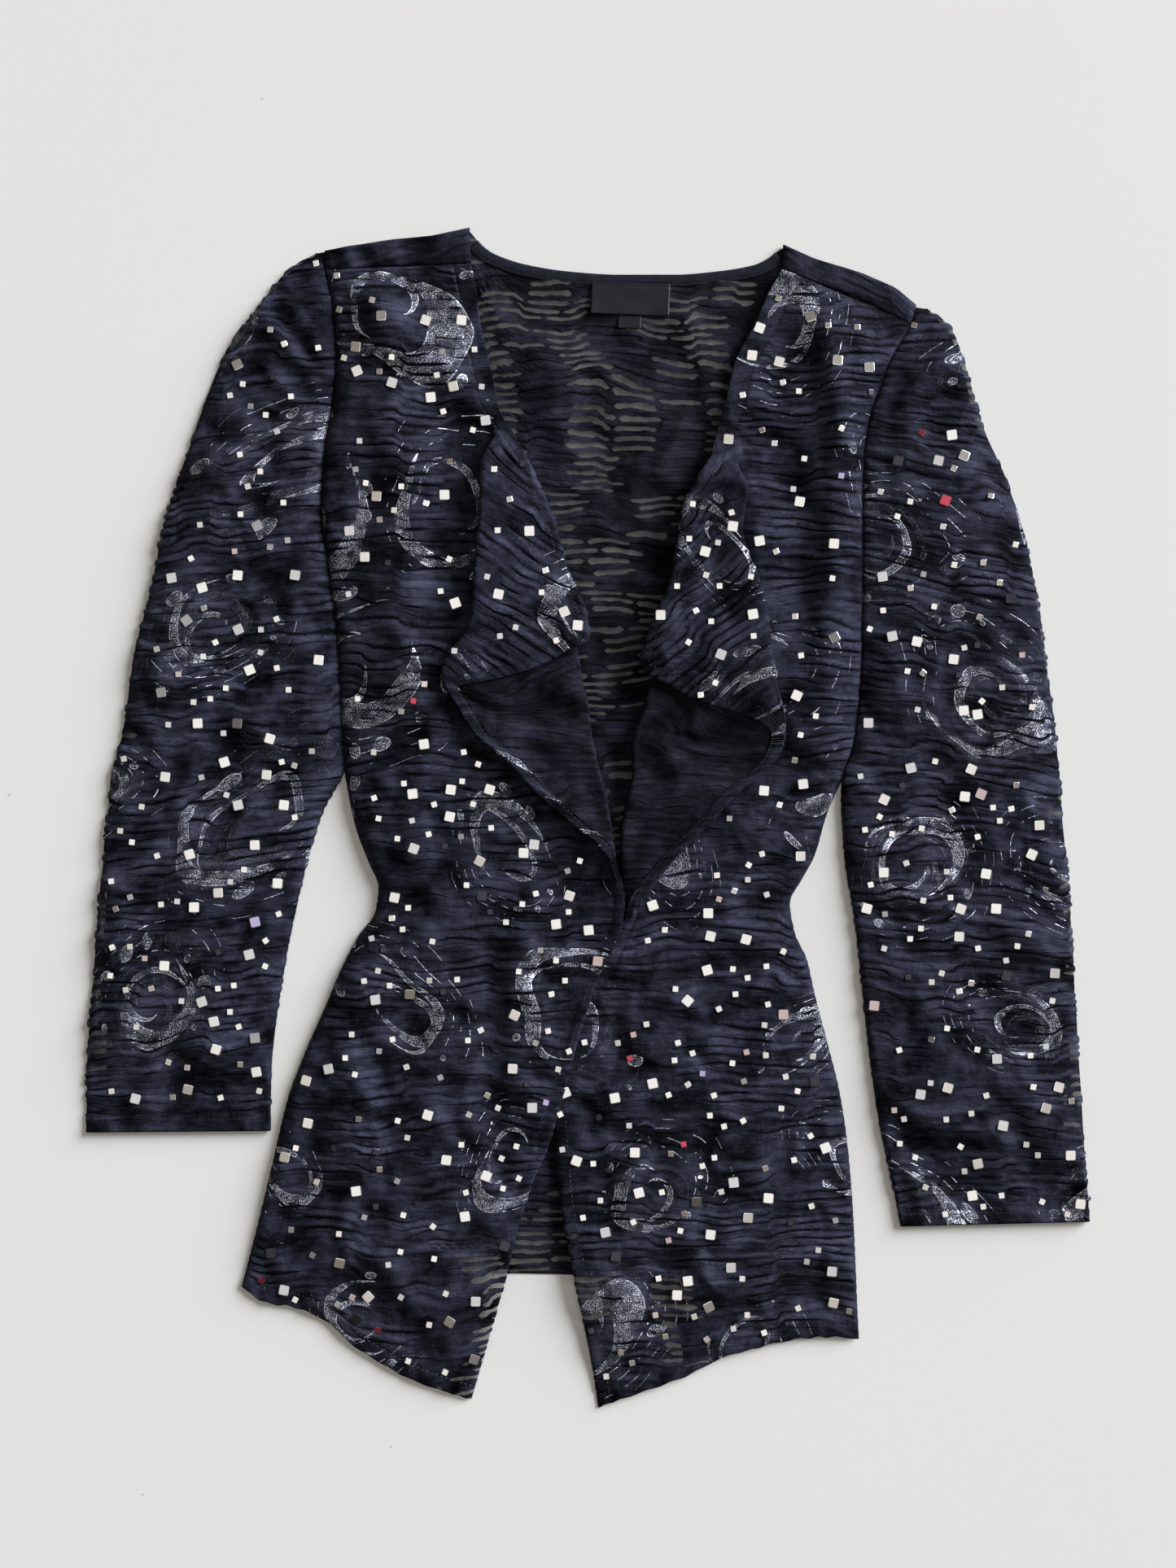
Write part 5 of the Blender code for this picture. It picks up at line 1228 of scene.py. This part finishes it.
# A row is one level of a front: how far up it is at the side seam and at the free edge; the x of the fold,
# where the body turns back, of the roll, where it turns forward again, and of the free edge; the degrees it
# turns; hem, 1 where only a turned hem is left past the roll; even, 1 where the cloth's columns are spread
# evenly; and how high over the floor it lies in its middle and at its edge
FrontRow = namedtuple("FrontRow", "y_side y_edge fold roll edge turn hem even mid_z edge_z",
                      defaults=(5.0, 5.0))
RIGHT_FRONT = [
    FrontRow(356, 360, -95, -95, -76, 0, 0, 1, 3.0, 3.0),
    FrontRow(335, 340, -92, -92, -72, 0, 0, 1, 5.0, 4.4),
    FrontRow(318, 321, -88, -88, -70, 0, 0, 1, 5.0, 4.4),
    FrontRow(288, 288, -80, -80, -62, 0, 0, 0.5),
    FrontRow(268, 266, -70, -71, -58, 0, 0, 0),
    FrontRow(252, 251, -62, -67, -50, 60, 0, 0),
    FrontRow(240, 239, -55, -67, -44, 140, 0, 0),
    FrontRow(224, 223, -46, -68, -36, 180, 0, 0),
    FrontRow(194, 194, -34, -69, -23, 180, 0, 0),
    FrontRow(162, 162, -24, -72, -14, 180, 0, 0),
    FrontRow(130, 130, -11, -74, -1, 180, 0, 0),
    FrontRow(117, 117, -8, -79, 0, 180, 0, 0),
    FrontRow(107, 107, -6, -87, -17, 180, 0, 0),
    FrontRow(97, 97, -4, -92, -36, 180, 0.2, 0),
    FrontRow(90, 90, -3, -93, -62, 180, 0.6, 0),
    FrontRow(85, 85, -2, -91, -83, 180, 1, 0),
    FrontRow(74, 74, 1, -84, -76, 180, 1, 0),
    FrontRow(56, 56, 3, -73, -65, 180, 1, 0),
    FrontRow(40, 40, 6, -54, -46, 180, 1, 0),
    FrontRow(20, 20, 11, -35, -27, 180, 1, 0),
    FrontRow(0, 0, 15, -13, -5, 180, 1, 0),
    FrontRow(-18, -18, 17.5, 8, 15, 175, 1, 0, 5.0, 5.5),
    FrontRow(-30, -30, 19, 14, 18.5, 110, 1, 0, 5.0, 7.0),
    FrontRow(-43, -43, 20, 19, 22.5, 45, 1, 0, 5.0, 8.8),
    FrontRow(-54, -54, 18, 17, 23.5, 0, 1, 0.1, 5.0, 11.0),
    FrontRow(-66, -66, 16, 16, 22.5, 0, 1, 0.4, 5.0, 11.0),
    FrontRow(-80, -82, 10, 10, 17, 0, 1, 0.8, 5.0, 8.2),
    FrontRow(-96, -100, 0, 0, 8, 0, 1, 1, 5.0, 7.0),
    FrontRow(-122, -135, -12, -12, -4, 0, 1, 1, 5.0, 6.6),
    FrontRow(-160, -183, -25, -25, -17, 0, 1, 1, 5.0, 6.6),
    FrontRow(-182, -210, -33, -33, -25, 0, 1, 1, 5.0, 5.8),
    FrontRow(-205, -236, -44, -44, -36, 0, 1, 1, 5.0, 4.4),
    FrontRow(-228, -264, -53, -53, -45, 0, 1, 1, 5.0, 3.4),
    FrontRow(-252, -296, -61, -61, -53, 0, 1, 1, 4.4, 2.6),
    FrontRow(-274, -328, -70, -70, -62, 0, 1, 1, 3.4, 1.4),
    FrontRow(-290, -357, -78, -78, -70, 0, 1, 1, 2.4, 0.5),
    FrontRow(-304, -378, -84, -84, -76, 0, 1, 1, 1.5, 0.0),
]
LEFT_FRONT = [
    FrontRow(321, 357, 140, 140, 126, 0, 0, 1, 3.0, 3.0),
    FrontRow(312, 340, 134, 134, 117, 0, 0, 1, 5.0, 4.4),
    FrontRow(300, 318, 125, 125, 107, 0, 0, 1, 5.0, 4.4),
    FrontRow(284, 295, 113, 113, 95, 0, 0, 0.6),
    FrontRow(266, 270, 108, 108, 89, 0, 0, 0.2),
    FrontRow(247, 248, 101, 103, 83, 0, 0, 0),
    FrontRow(233, 233, 98, 103, 79, 60, 0, 0),
    FrontRow(221, 221, 90, 102, 73, 140, 0, 0),
    FrontRow(208, 208, 78, 101, 65, 180, 0, 0),
    FrontRow(187, 187, 68, 98, 60, 180, 0, 0),
    FrontRow(170, 170, 64, 102, 57, 180, 0, 0),
    FrontRow(153, 153, 60, 109, 53, 180, 0, 0),
    FrontRow(132, 132, 52, 114, 45, 180, 0, 0),
    FrontRow(112, 112, 45, 116, 37, 180, 0, 0),
    FrontRow(99, 99, 42, 118, 35, 180, 0, 0),
    FrontRow(86, 86, 39, 120, 53, 180, 0, 0),
    FrontRow(77, 77, 37, 122, 70, 180, 0, 0),
    FrontRow(70, 70, 35, 124, 92, 180, 0.2, 0),
    FrontRow(62, 62, 32, 126, 112, 180, 0.6, 0),
    FrontRow(54, 54, 29, 126, 118, 180, 1, 0),
    FrontRow(43, 43, 28, 123, 115, 180, 1, 0),
    FrontRow(31, 31, 28, 114, 106, 180, 1, 0),
    FrontRow(18, 18, 26, 97, 89, 180, 1, 0),
    FrontRow(0, 0, 22, 80, 72, 180, 1, 0, 5.0, 4.6),
    FrontRow(-20, -20, 20.5, 60, 52, 180, 1, 0, 5.0, 3.6),
    FrontRow(-38, -38, 20.5, 45, 37, 180, 1, 0, 5.0, 3.2),
    FrontRow(-52, -52, 21.5, 35, 27, 160, 1, 0, 5.0, 3.0),
    FrontRow(-64, -64, 23.5, 28, 24, 60, 1, 0, 4.8, 3.0),
    FrontRow(-75, -75, 22, 24, 18, 30, 1, 0, 4.6, 3.2),
    FrontRow(-86, -86, 20, 20, 14, 0, 1, 0.2, 4.4, 3.0),
    FrontRow(-96, -100, 14, 14, 6, 0, 1, 0.7, 4.4, 2.8),
    FrontRow(-108, -119, 4, 4, -4, 0, 1, 1, 4.6, 2.8),
    FrontRow(-140, -160, -9, -9, -17, 0, 1, 1, 4.8, 2.8),
    FrontRow(-172, -190, -14, -14, -22, 0, 1, 1, 5.0, 2.8),
    FrontRow(-190, -209, -13, -13, -21, 0, 1, 1, 5.0, 2.8),
    FrontRow(-222, -244, -10, -10, -18, 0, 1, 1, 5.0, 2.8),
    FrontRow(-254, -280, -4, -4, -12, 0, 1, 1, 4.6, 2.6),
    FrontRow(-282, -312, 2, 2, -6, 0, 1, 1, 3.8, 1.8),
    FrontRow(-308, -346, 9, 9, 1, 0, 1, 1, 2.6, 0.6),
    FrontRow(-334, -383, 15, 15, 7, 0, 1, 1, 1.5, 0.0),
]
FRONT_PITCH = 1.42
BODY_STEPS, FOLD_STEPS, REVERS_STEPS, ROLL_STEPS, LAPEL_STEPS, CURL_STEPS = 39, 8, 12, 7, 18, 5
TIGHT_FOLD_RADIUS, WIDE_FOLD_RADIUS, WIDE_REVERS = 1.8, 3.0, 25.0
ROLL_RADIUS, HEM_RADIUS = 1.7, 0.4
CURL_RADIUS, CURL_TURN = 2.2, 150.0
LEAST_STEP = 2.0
FRONT_SEWN_Z, SIDE_SEAM_Z = 3.0, 1.5
SIDE_ROUND, EDGE_ROUND = 22.0, 26.0
CREASE_FADE, UNDERARM_BLEND = 25.0, 30.0
NECK_BAND, HEM_BAND, FOLDED_BAND = 12.0, 7.5, 1.4
HEM_TURNED = 14.0
FRONT_GAP, FRONT_LOFT, SIDE_SOFTNESS = 0.2, 3.6, 14.0
HEM_RIPPLE, HEM_POINT_SHEER = 0.4, 0.24
ROLL_LIFT, ROLL_LIFT_WIDTH = 6.2, 19.0

# A lapel's own frame: a point that keeps its place on the cloth, its slant in degrees, and how far up its
# top, its lower corner and its end are
LapelFrame = namedtuple("LapelFrame", "x y slant top bottom end")
HemBend = namedtuple("HemBend", "share rise")
RIGHT_HEM_BENDS = [
    HemBend(0, 0), HemBend(0.08, -3), HemBend(0.25, 4), HemBend(0.36, 5), HemBend(0.5, -3), HemBend(0.72, -6),
    HemBend(0.86, -3.5), HemBend(1, 0),
]
LEFT_HEM_BENDS = [
    HemBend(0, -4), HemBend(0.15, 4.3), HemBend(0.31, 8.7), HemBend(0.51, 9.5), HemBend(0.67, 4),
    HemBend(0.94, 1), HemBend(1, 0),
]
RIGHT_LAPEL = LapelFrame(-66, 250, -36, 268, 117, 85)
LEFT_LAPEL = LapelFrame(104, 233, -40, 250, 99, 58)
RIGHT_FRONT_CREASES = [
    Crease(-128, 300, -112, 70, 19, 6.4),
    Crease(-150, 130, -160, 40, 10, -1.8),
    Crease(-150, -120, -165, -250, 15, 3.6),
    Crease(-140, 335, -84, 280, 9, 3.3),
    Crease(-150, 300, -100, 262, 8, -1.8),
    Crease(-100, -58, -40, -84, 8, 3.6),
    Crease(-128, -46, -75, -66, 7, -2.1),
    Crease(-60, 10, -78, -50, 11, 2.1),
    Crease(-62, -85, -60, -215, 10, -4.2),
    Crease(-95, -90, -104, -220, 16, 4.0),
    Crease(-150, 190, -100, 100, 16, 1.7),
    Crease(-175, -170, -120, -230, 12, -1.5),
    Crease(-128, 60, -96, -10, 10, -1.4),
]
LEFT_FRONT_CREASES = [
    Crease(156, 130, 148, 20, 13, 4.0),
    Crease(138, 200, 142, 110, 9, -2.1),
    Crease(155, 310, 166, 255, 11, 6.3),
    Crease(166, 250, 162, 150, 11, 6.0),
    Crease(124, 262, 134, 160, 13, -3.6),
    Crease(122, -72, 40, -94, 8, 3.6),
    Crease(110, -50, 62, -66, 7, -1.8),
    Crease(120, -110, 50, -118, 9, 1.8),
    Crease(150, 60, 120, -20, 12, -1.5),
    Crease(118, -150, 92, -260, 14, 3.2),
    Crease(140, -200, 150, -300, 12, -1.4),
    Crease(60, -180, 66, -300, 12, 2.8),
]


def walk(steps):
    """Follows (length, turn) steps from the origin along +x, turning up, and returns the points passed."""
    length, turn = np.array(steps).T
    heading = np.cumsum(turn) - turn / 2
    x = np.concatenate([[0.0], np.cumsum(length * np.cos(heading))])
    z = np.concatenate([[0.0], np.cumsum(length * np.sin(heading))])
    return np.stack([x, z], -1)


def front_section(row, start, outward, curl):
    """A front's wrong side at one level: each point's across, height and cloth distance from the side."""
    turn = math.radians(row["turn"])
    fold, roll, edge = (outward * (row[name] - start) for name in ("fold", "roll", "edge"))
    looseness = smooth_step(0, WIDE_REVERS, fold - roll)
    fold_radius = TIGHT_FOLD_RADIUS + (WIDE_FOLD_RADIUS - TIGHT_FOLD_RADIUS) * looseness
    roll_radius = ROLL_RADIUS + (HEM_RADIUS - ROLL_RADIUS) * row["hem"]
    fold_arc = max(fold_radius * turn, LEAST_STEP)
    roll_arc = max(roll_radius * turn, LEAST_STEP if turn < 1.5 else 0.0)
    reach = fold_radius * math.sin(min(turn, math.pi / 2))
    revers = max(LEAST_STEP, (fold - fold_radius) - (roll + roll_radius))
    folds = [(fold_arc / FOLD_STEPS, turn / FOLD_STEPS)] * FOLD_STEPS
    folds += [(revers / REVERS_STEPS, 0.0)] * REVERS_STEPS
    folds += [(roll_arc / ROLL_STEPS, -turn / ROLL_STEPS)] * ROLL_STEPS
    curl_arc = max(CURL_RADIUS * curl, 1.0)
    curls = [(curl_arc / CURL_STEPS, -curl / CURL_STEPS)] * CURL_STEPS
    gained = walk(folds)[-1, 0] + walk(curls)[:, 0].max()
    body = fold - reach
    lapel = edge - body - gained
    if lapel < LEAST_STEP:
        body -= LEAST_STEP - lapel
        lapel = LEAST_STEP
    steps = [(body / BODY_STEPS, 0.0)] * BODY_STEPS + folds
    steps += [(lapel / LAPEL_STEPS, 0.0)] * LAPEL_STEPS + curls
    path = walk(steps)
    lengths = np.concatenate([[0.0], np.cumsum([length for length, _ in steps])])
    at = (1 - row["even"]) * lengths + row["even"] * np.linspace(0.0, lengths[-1], len(lengths))
    return np.interp(at, lengths, path[:, 0]), np.interp(at, lengths, path[:, 1]), at


def front_surface(table, side, outward, creases):
    """The plain wrong side of a front, its rows' values, and its cloth distances from the body's middle."""
    rows = fill_rows(table, "y_edge", FRONT_PITCH)
    count = len(rows["turn"])
    starts = side_x(side, rows["y_side"])
    rows["lean"] = np.gradient(rows["edge"]) / np.minimum(np.gradient(rows["y_edge"]), -0.2)
    straight = 1 / (1 + rows["lean"] ** 2)
    sections = []
    for k in range(count):
        row = {name: float(values[k]) for name, values in rows.items()}
        folded = float(smooth_step(90, 170, row["turn"]))
        curl = math.radians(CURL_TURN) * straight[k] * folded * (1 - row["hem"])
        sections.append(front_section(row, starts[k], outward, curl))
    across, up, at = (np.array(parts) for parts in zip(*sections))
    row = {name: values[:, None] for name, values in rows.items()}
    furthest = across.max(axis=1, keepdims=True)
    x = starts[:, None] + outward * across
    y = row["y_side"] + (row["y_edge"] - row["y_side"]) * np.minimum(across / furthest, 1)
    below_sleeve = 1 - smooth_step(UNDERARM_Y - UNDERARM_BLEND, UNDERARM_Y, row["y_side"])
    side_z = FRONT_SEWN_Z + (SIDE_SEAM_Z - FRONT_SEWN_Z) * below_sleeve
    sinking = edge_round(furthest - across, EDGE_ROUND)
    rising = 1 - smooth_step(0, EDGE_ROUND, furthest - across)
    edge_shape = np.where(row["edge_z"] < row["mid_z"], sinking, rising)
    z = row["mid_z"] - (row["mid_z"] - side_z) * edge_round(across, SIDE_ROUND)
    z = z - (row["mid_z"] - row["edge_z"]) * edge_shape
    from_ends = np.minimum(np.arange(count), count - 1 - np.arange(count))[:, None] * FRONT_PITCH
    inside = smooth_step(0, CREASE_FADE, across) * smooth_step(0, CREASE_FADE, from_ends)
    z = z + inside * crease_height(creases, x, y)
    return np.stack([x, y, z + up], -1), row, starts[:, None] * outward + at


def front_coordinates(points, row, along, outward, lapel):
    """Where each point is on the uncut cloth.

    The lapel has a slanting frame of its own, which is blended in where nobody sees it.
    """
    u, v = along, -points[..., 1]
    pivot = np.argmin(np.abs(row["y_edge"][:, 0] - lapel.y))
    lapel_start = BODY_STEPS + FOLD_STEPS + REVERS_STEPS + ROLL_STEPS
    slant = math.radians(lapel.slant)
    dx, dy = outward * (points[..., 0] - lapel.x), lapel.y - points[..., 1]
    lapel_u = u[pivot, lapel_start] + dx * math.cos(slant) - dy * math.sin(slant)
    lapel_v = -lapel.y + dy * math.cos(slant) + dx * math.sin(slant)
    index = np.arange(points.shape[1])[None, :]
    over_revers = smooth_step(BODY_STEPS + FOLD_STEPS, lapel_start - ROLL_STEPS, index)
    over_roll = smooth_step(lapel_start - ROLL_STEPS, lapel_start, index)
    y = row["y_edge"]
    lower = smooth_step(lapel.bottom, lapel.end, y)
    there = smooth_step(lapel.top, lapel.top - 40, y) * smooth_step(lapel.end - 25, lapel.end, y)
    share_u = there * ((1 - lower) * over_revers + lower * over_roll)
    share_v = there * over_revers
    return u + share_u * (lapel_u - u), v + share_v * (lapel_v - v)


def pucker_share(points, row, outward):
    """How much of the puckers' height each part of a front has: little where it is folded under or hemmed."""
    folded = smooth_step(15, 80, row["turn"])
    ends = np.cumsum([BODY_STEPS, FOLD_STEPS, REVERS_STEPS, ROLL_STEPS])
    index = np.arange(points.shape[1])[None, :]
    flap = outward * (points[..., 0] - row["roll"])
    share = np.where(index <= ends[0], 1 - 0.88 * smooth_step(-8, 3, flap), 0.6)
    share = np.where(index > ends[2], 0.8, share)
    share = np.where(index > ends[3], 1.3 - 1.05 * row["hem"], share)
    share = 1 - folded * (1 - share)
    for _ in range(2):
        share[:, 1:-1] = (share[:, :-2] + share[:, 1:-1] + share[:, 2:]) / 3
    return share


def zero_line(points, normals, distance):
    """Where a distance falls through zero in each row of a grid: the points found and their normals."""
    path, ups = [], []
    for k in range(len(points)):
        crossing = np.nonzero((distance[k, :-1] > 0) & (distance[k, 1:] <= 0))[0]
        if len(crossing):
            j = crossing[-1]
            t = distance[k, j] / (distance[k, j] - distance[k, j + 1])
            path.append(points[k, j] * (1 - t) + points[k, j + 1] * t)
            ups.append(normals[k, j])
    return np.array(path), np.array(ups)


def pinches(along):
    """The uneven little pinches along a row of stitches."""
    return np.sin(along * 1.25 + 1.5 * np.sin(along / 9))


def add_front(name, node, table, side, outward, creases, hem_bends, lapel, facing, seed):
    """Dresses one front: its crinkled cloth, foil squares and the stitches along its free edges and hem."""
    wrong_side, row, along = front_surface(table, side, outward, creases)
    u, v = front_coordinates(wrong_side, row, along, outward, lapel)
    from_edge = (along[:, -1:] - along) / np.hypot(1, row["lean"])
    hem_way = wrong_side[-1, -1] - wrong_side[-1, 0]
    from_hem = (wrong_side[..., 1] - wrong_side[-1:, :, 1]) / np.hypot(1, hem_way[1] / hem_way[0])
    from_side = outward * (wrong_side[..., 0] - wrong_side[:, :1, 0])
    from_top = v - v[:1]

    # The turned edges: stitches in a groove, pinched cloth beside them, and flatter puckers
    neck = smooth_step(lapel.top - 12, lapel.top + 6, row["y_edge"])
    band = HEM_BAND + (NECK_BAND - HEM_BAND) * neck
    folded_hem = row["hem"] * smooth_step(60, 150, row["turn"])
    seam_at = band * (1 - folded_hem) + FOLDED_BAND * folded_hem
    edge_groove = close_to_line(from_edge - seam_at, GROOVE_WIDTH)
    hem_groove = close_to_line(from_hem - HEM_BAND, GROOVE_WIDTH)
    pinched = close_to_line(from_edge - seam_at - HEM_TURNED * folded_hem, PINCH_WIDTH)
    pinched = pinched * pinches(v) * (1 - 0.8 * neck)
    pinched = pinched + close_to_line(from_hem - HEM_BAND, PINCH_WIDTH) * pinches(u)
    extra = (0.16 + 0.22 * folded_hem) * pinched - GROOVE_DEPTH * np.maximum(edge_groove, hem_groove)
    share = pucker_share(wrong_side, row, outward)
    share = share * np.where(from_edge < band, 0.25 + 0.35 * (1 - neck), 1.0)
    share = share * (0.3 + 0.7 * smooth_step(HEM_BAND - 3, HEM_BAND + 4, from_hem))
    share = share * smooth_step(0, 4, along - along[:, :1]) * smooth_step(0, 5, from_top)

    # How loosely it lies: a full body, slow lumps, a lifted roll at the revers and a wavy hem
    plain = wrong_side + unit_normals(wrong_side) * facing * (FRONT_GAP + CLOTH)
    loft = FRONT_LOFT * (1 - edge_round(from_side, SIDE_SOFTNESS)) * smooth_step(0, 40, from_hem)
    loft = loft * smooth_step(0, 30, from_top)
    slow = lumps(wrong_side[..., 0], wrong_side[..., 1], seed) * smooth_step(0, 25, from_side)
    plain[..., 2] += loft + slow * smooth_step(4, 30, from_hem) * smooth_step(4, 30, from_top)
    roll_at = close_to_line(wrong_side[..., 0] - row["roll"], ROLL_LIFT_WIDTH)
    flap = smooth_step(BODY_STEPS, BODY_STEPS + FOLD_STEPS, np.arange(u.shape[1]))
    lifted = flap * smooth_step(120, 180, row["turn"]) * (1 - 0.75 * row["hem"])
    plain[..., 2] += ROLL_LIFT * roll_at * lifted
    knots, bends = zip(*hem_bends)
    across_share = from_side / from_side.max(axis=1, keepdims=True)
    plain[..., 1] += smooth_read(knots, bends, across_share) * smooth_step(90, 0, from_hem)
    ripple = np.sin(u * 0.42 + 3.2 * soft_noise(u / 23, 0 * u, seed + 70))
    ripple = ripple * (1 + soft_noise(u / 31, 0 * u, seed + 71))
    plain[..., 1] += HEM_RIPPLE * ripple * smooth_step(10, 0, from_hem)
    plain[..., 2] += HEM_RIPPLE * (2 + ripple) * smooth_step(12, 2, from_hem)
    normals = unit_normals(plain) * facing
    plain[..., 2] -= 0.8 * folded_hem * smooth_step(HEM_BAND, 0, from_edge)

    foils = scatter_foils(plain, normals, seed)
    motifs = glitter_motifs(u, v, seed + 1)
    hem_point = smooth_step(-230, -300, wrong_side[..., 1]) * smooth_step(90, 20, from_edge)
    below_arm = smooth_step(SLEEVE_GAP_Y + 10, SLEEVE_GAP_Y - 20, plain[..., 1])
    scallop = 0.7 * np.exp(-from_edge / 4) * (1 - neck) - 1.1 * np.exp(-from_side / 4) * below_arm
    scallop = outward * scallop * smooth_step(3, 14, from_hem)
    sheer = HEM_POINT_SHEER * hem_point
    grid = crinkled(plain, normals, u, v, share, seed, foils, motifs, sheer, extra, scallop)
    piece = add_cloth(name, [grid], facing, knit_sides)
    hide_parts(node)
    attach(piece, "root")
    squares = add_foils(name + "_foils", grid["points"], normals, foils, seed + 2)
    stitches = add_stitches(name + "_stitches", [
        zero_line(grid["points"], normals, from_edge - seam_at),
        zero_line(grid["points"].transpose(1, 0, 2), normals.transpose(1, 0, 2), (from_hem - HEM_BAND).T),
    ])


add_front("front_right_cloth", "front_right", RIGHT_FRONT, RIGHT_SIDE, 1, RIGHT_FRONT_CREASES,
          RIGHT_HEM_BENDS, RIGHT_LAPEL, -1, 41)
add_front("front_left_cloth", "front_left", LEFT_FRONT, LEFT_SIDE, -1, LEFT_FRONT_CREASES,
          LEFT_HEM_BENDS, LEFT_LAPEL, 1, 47)
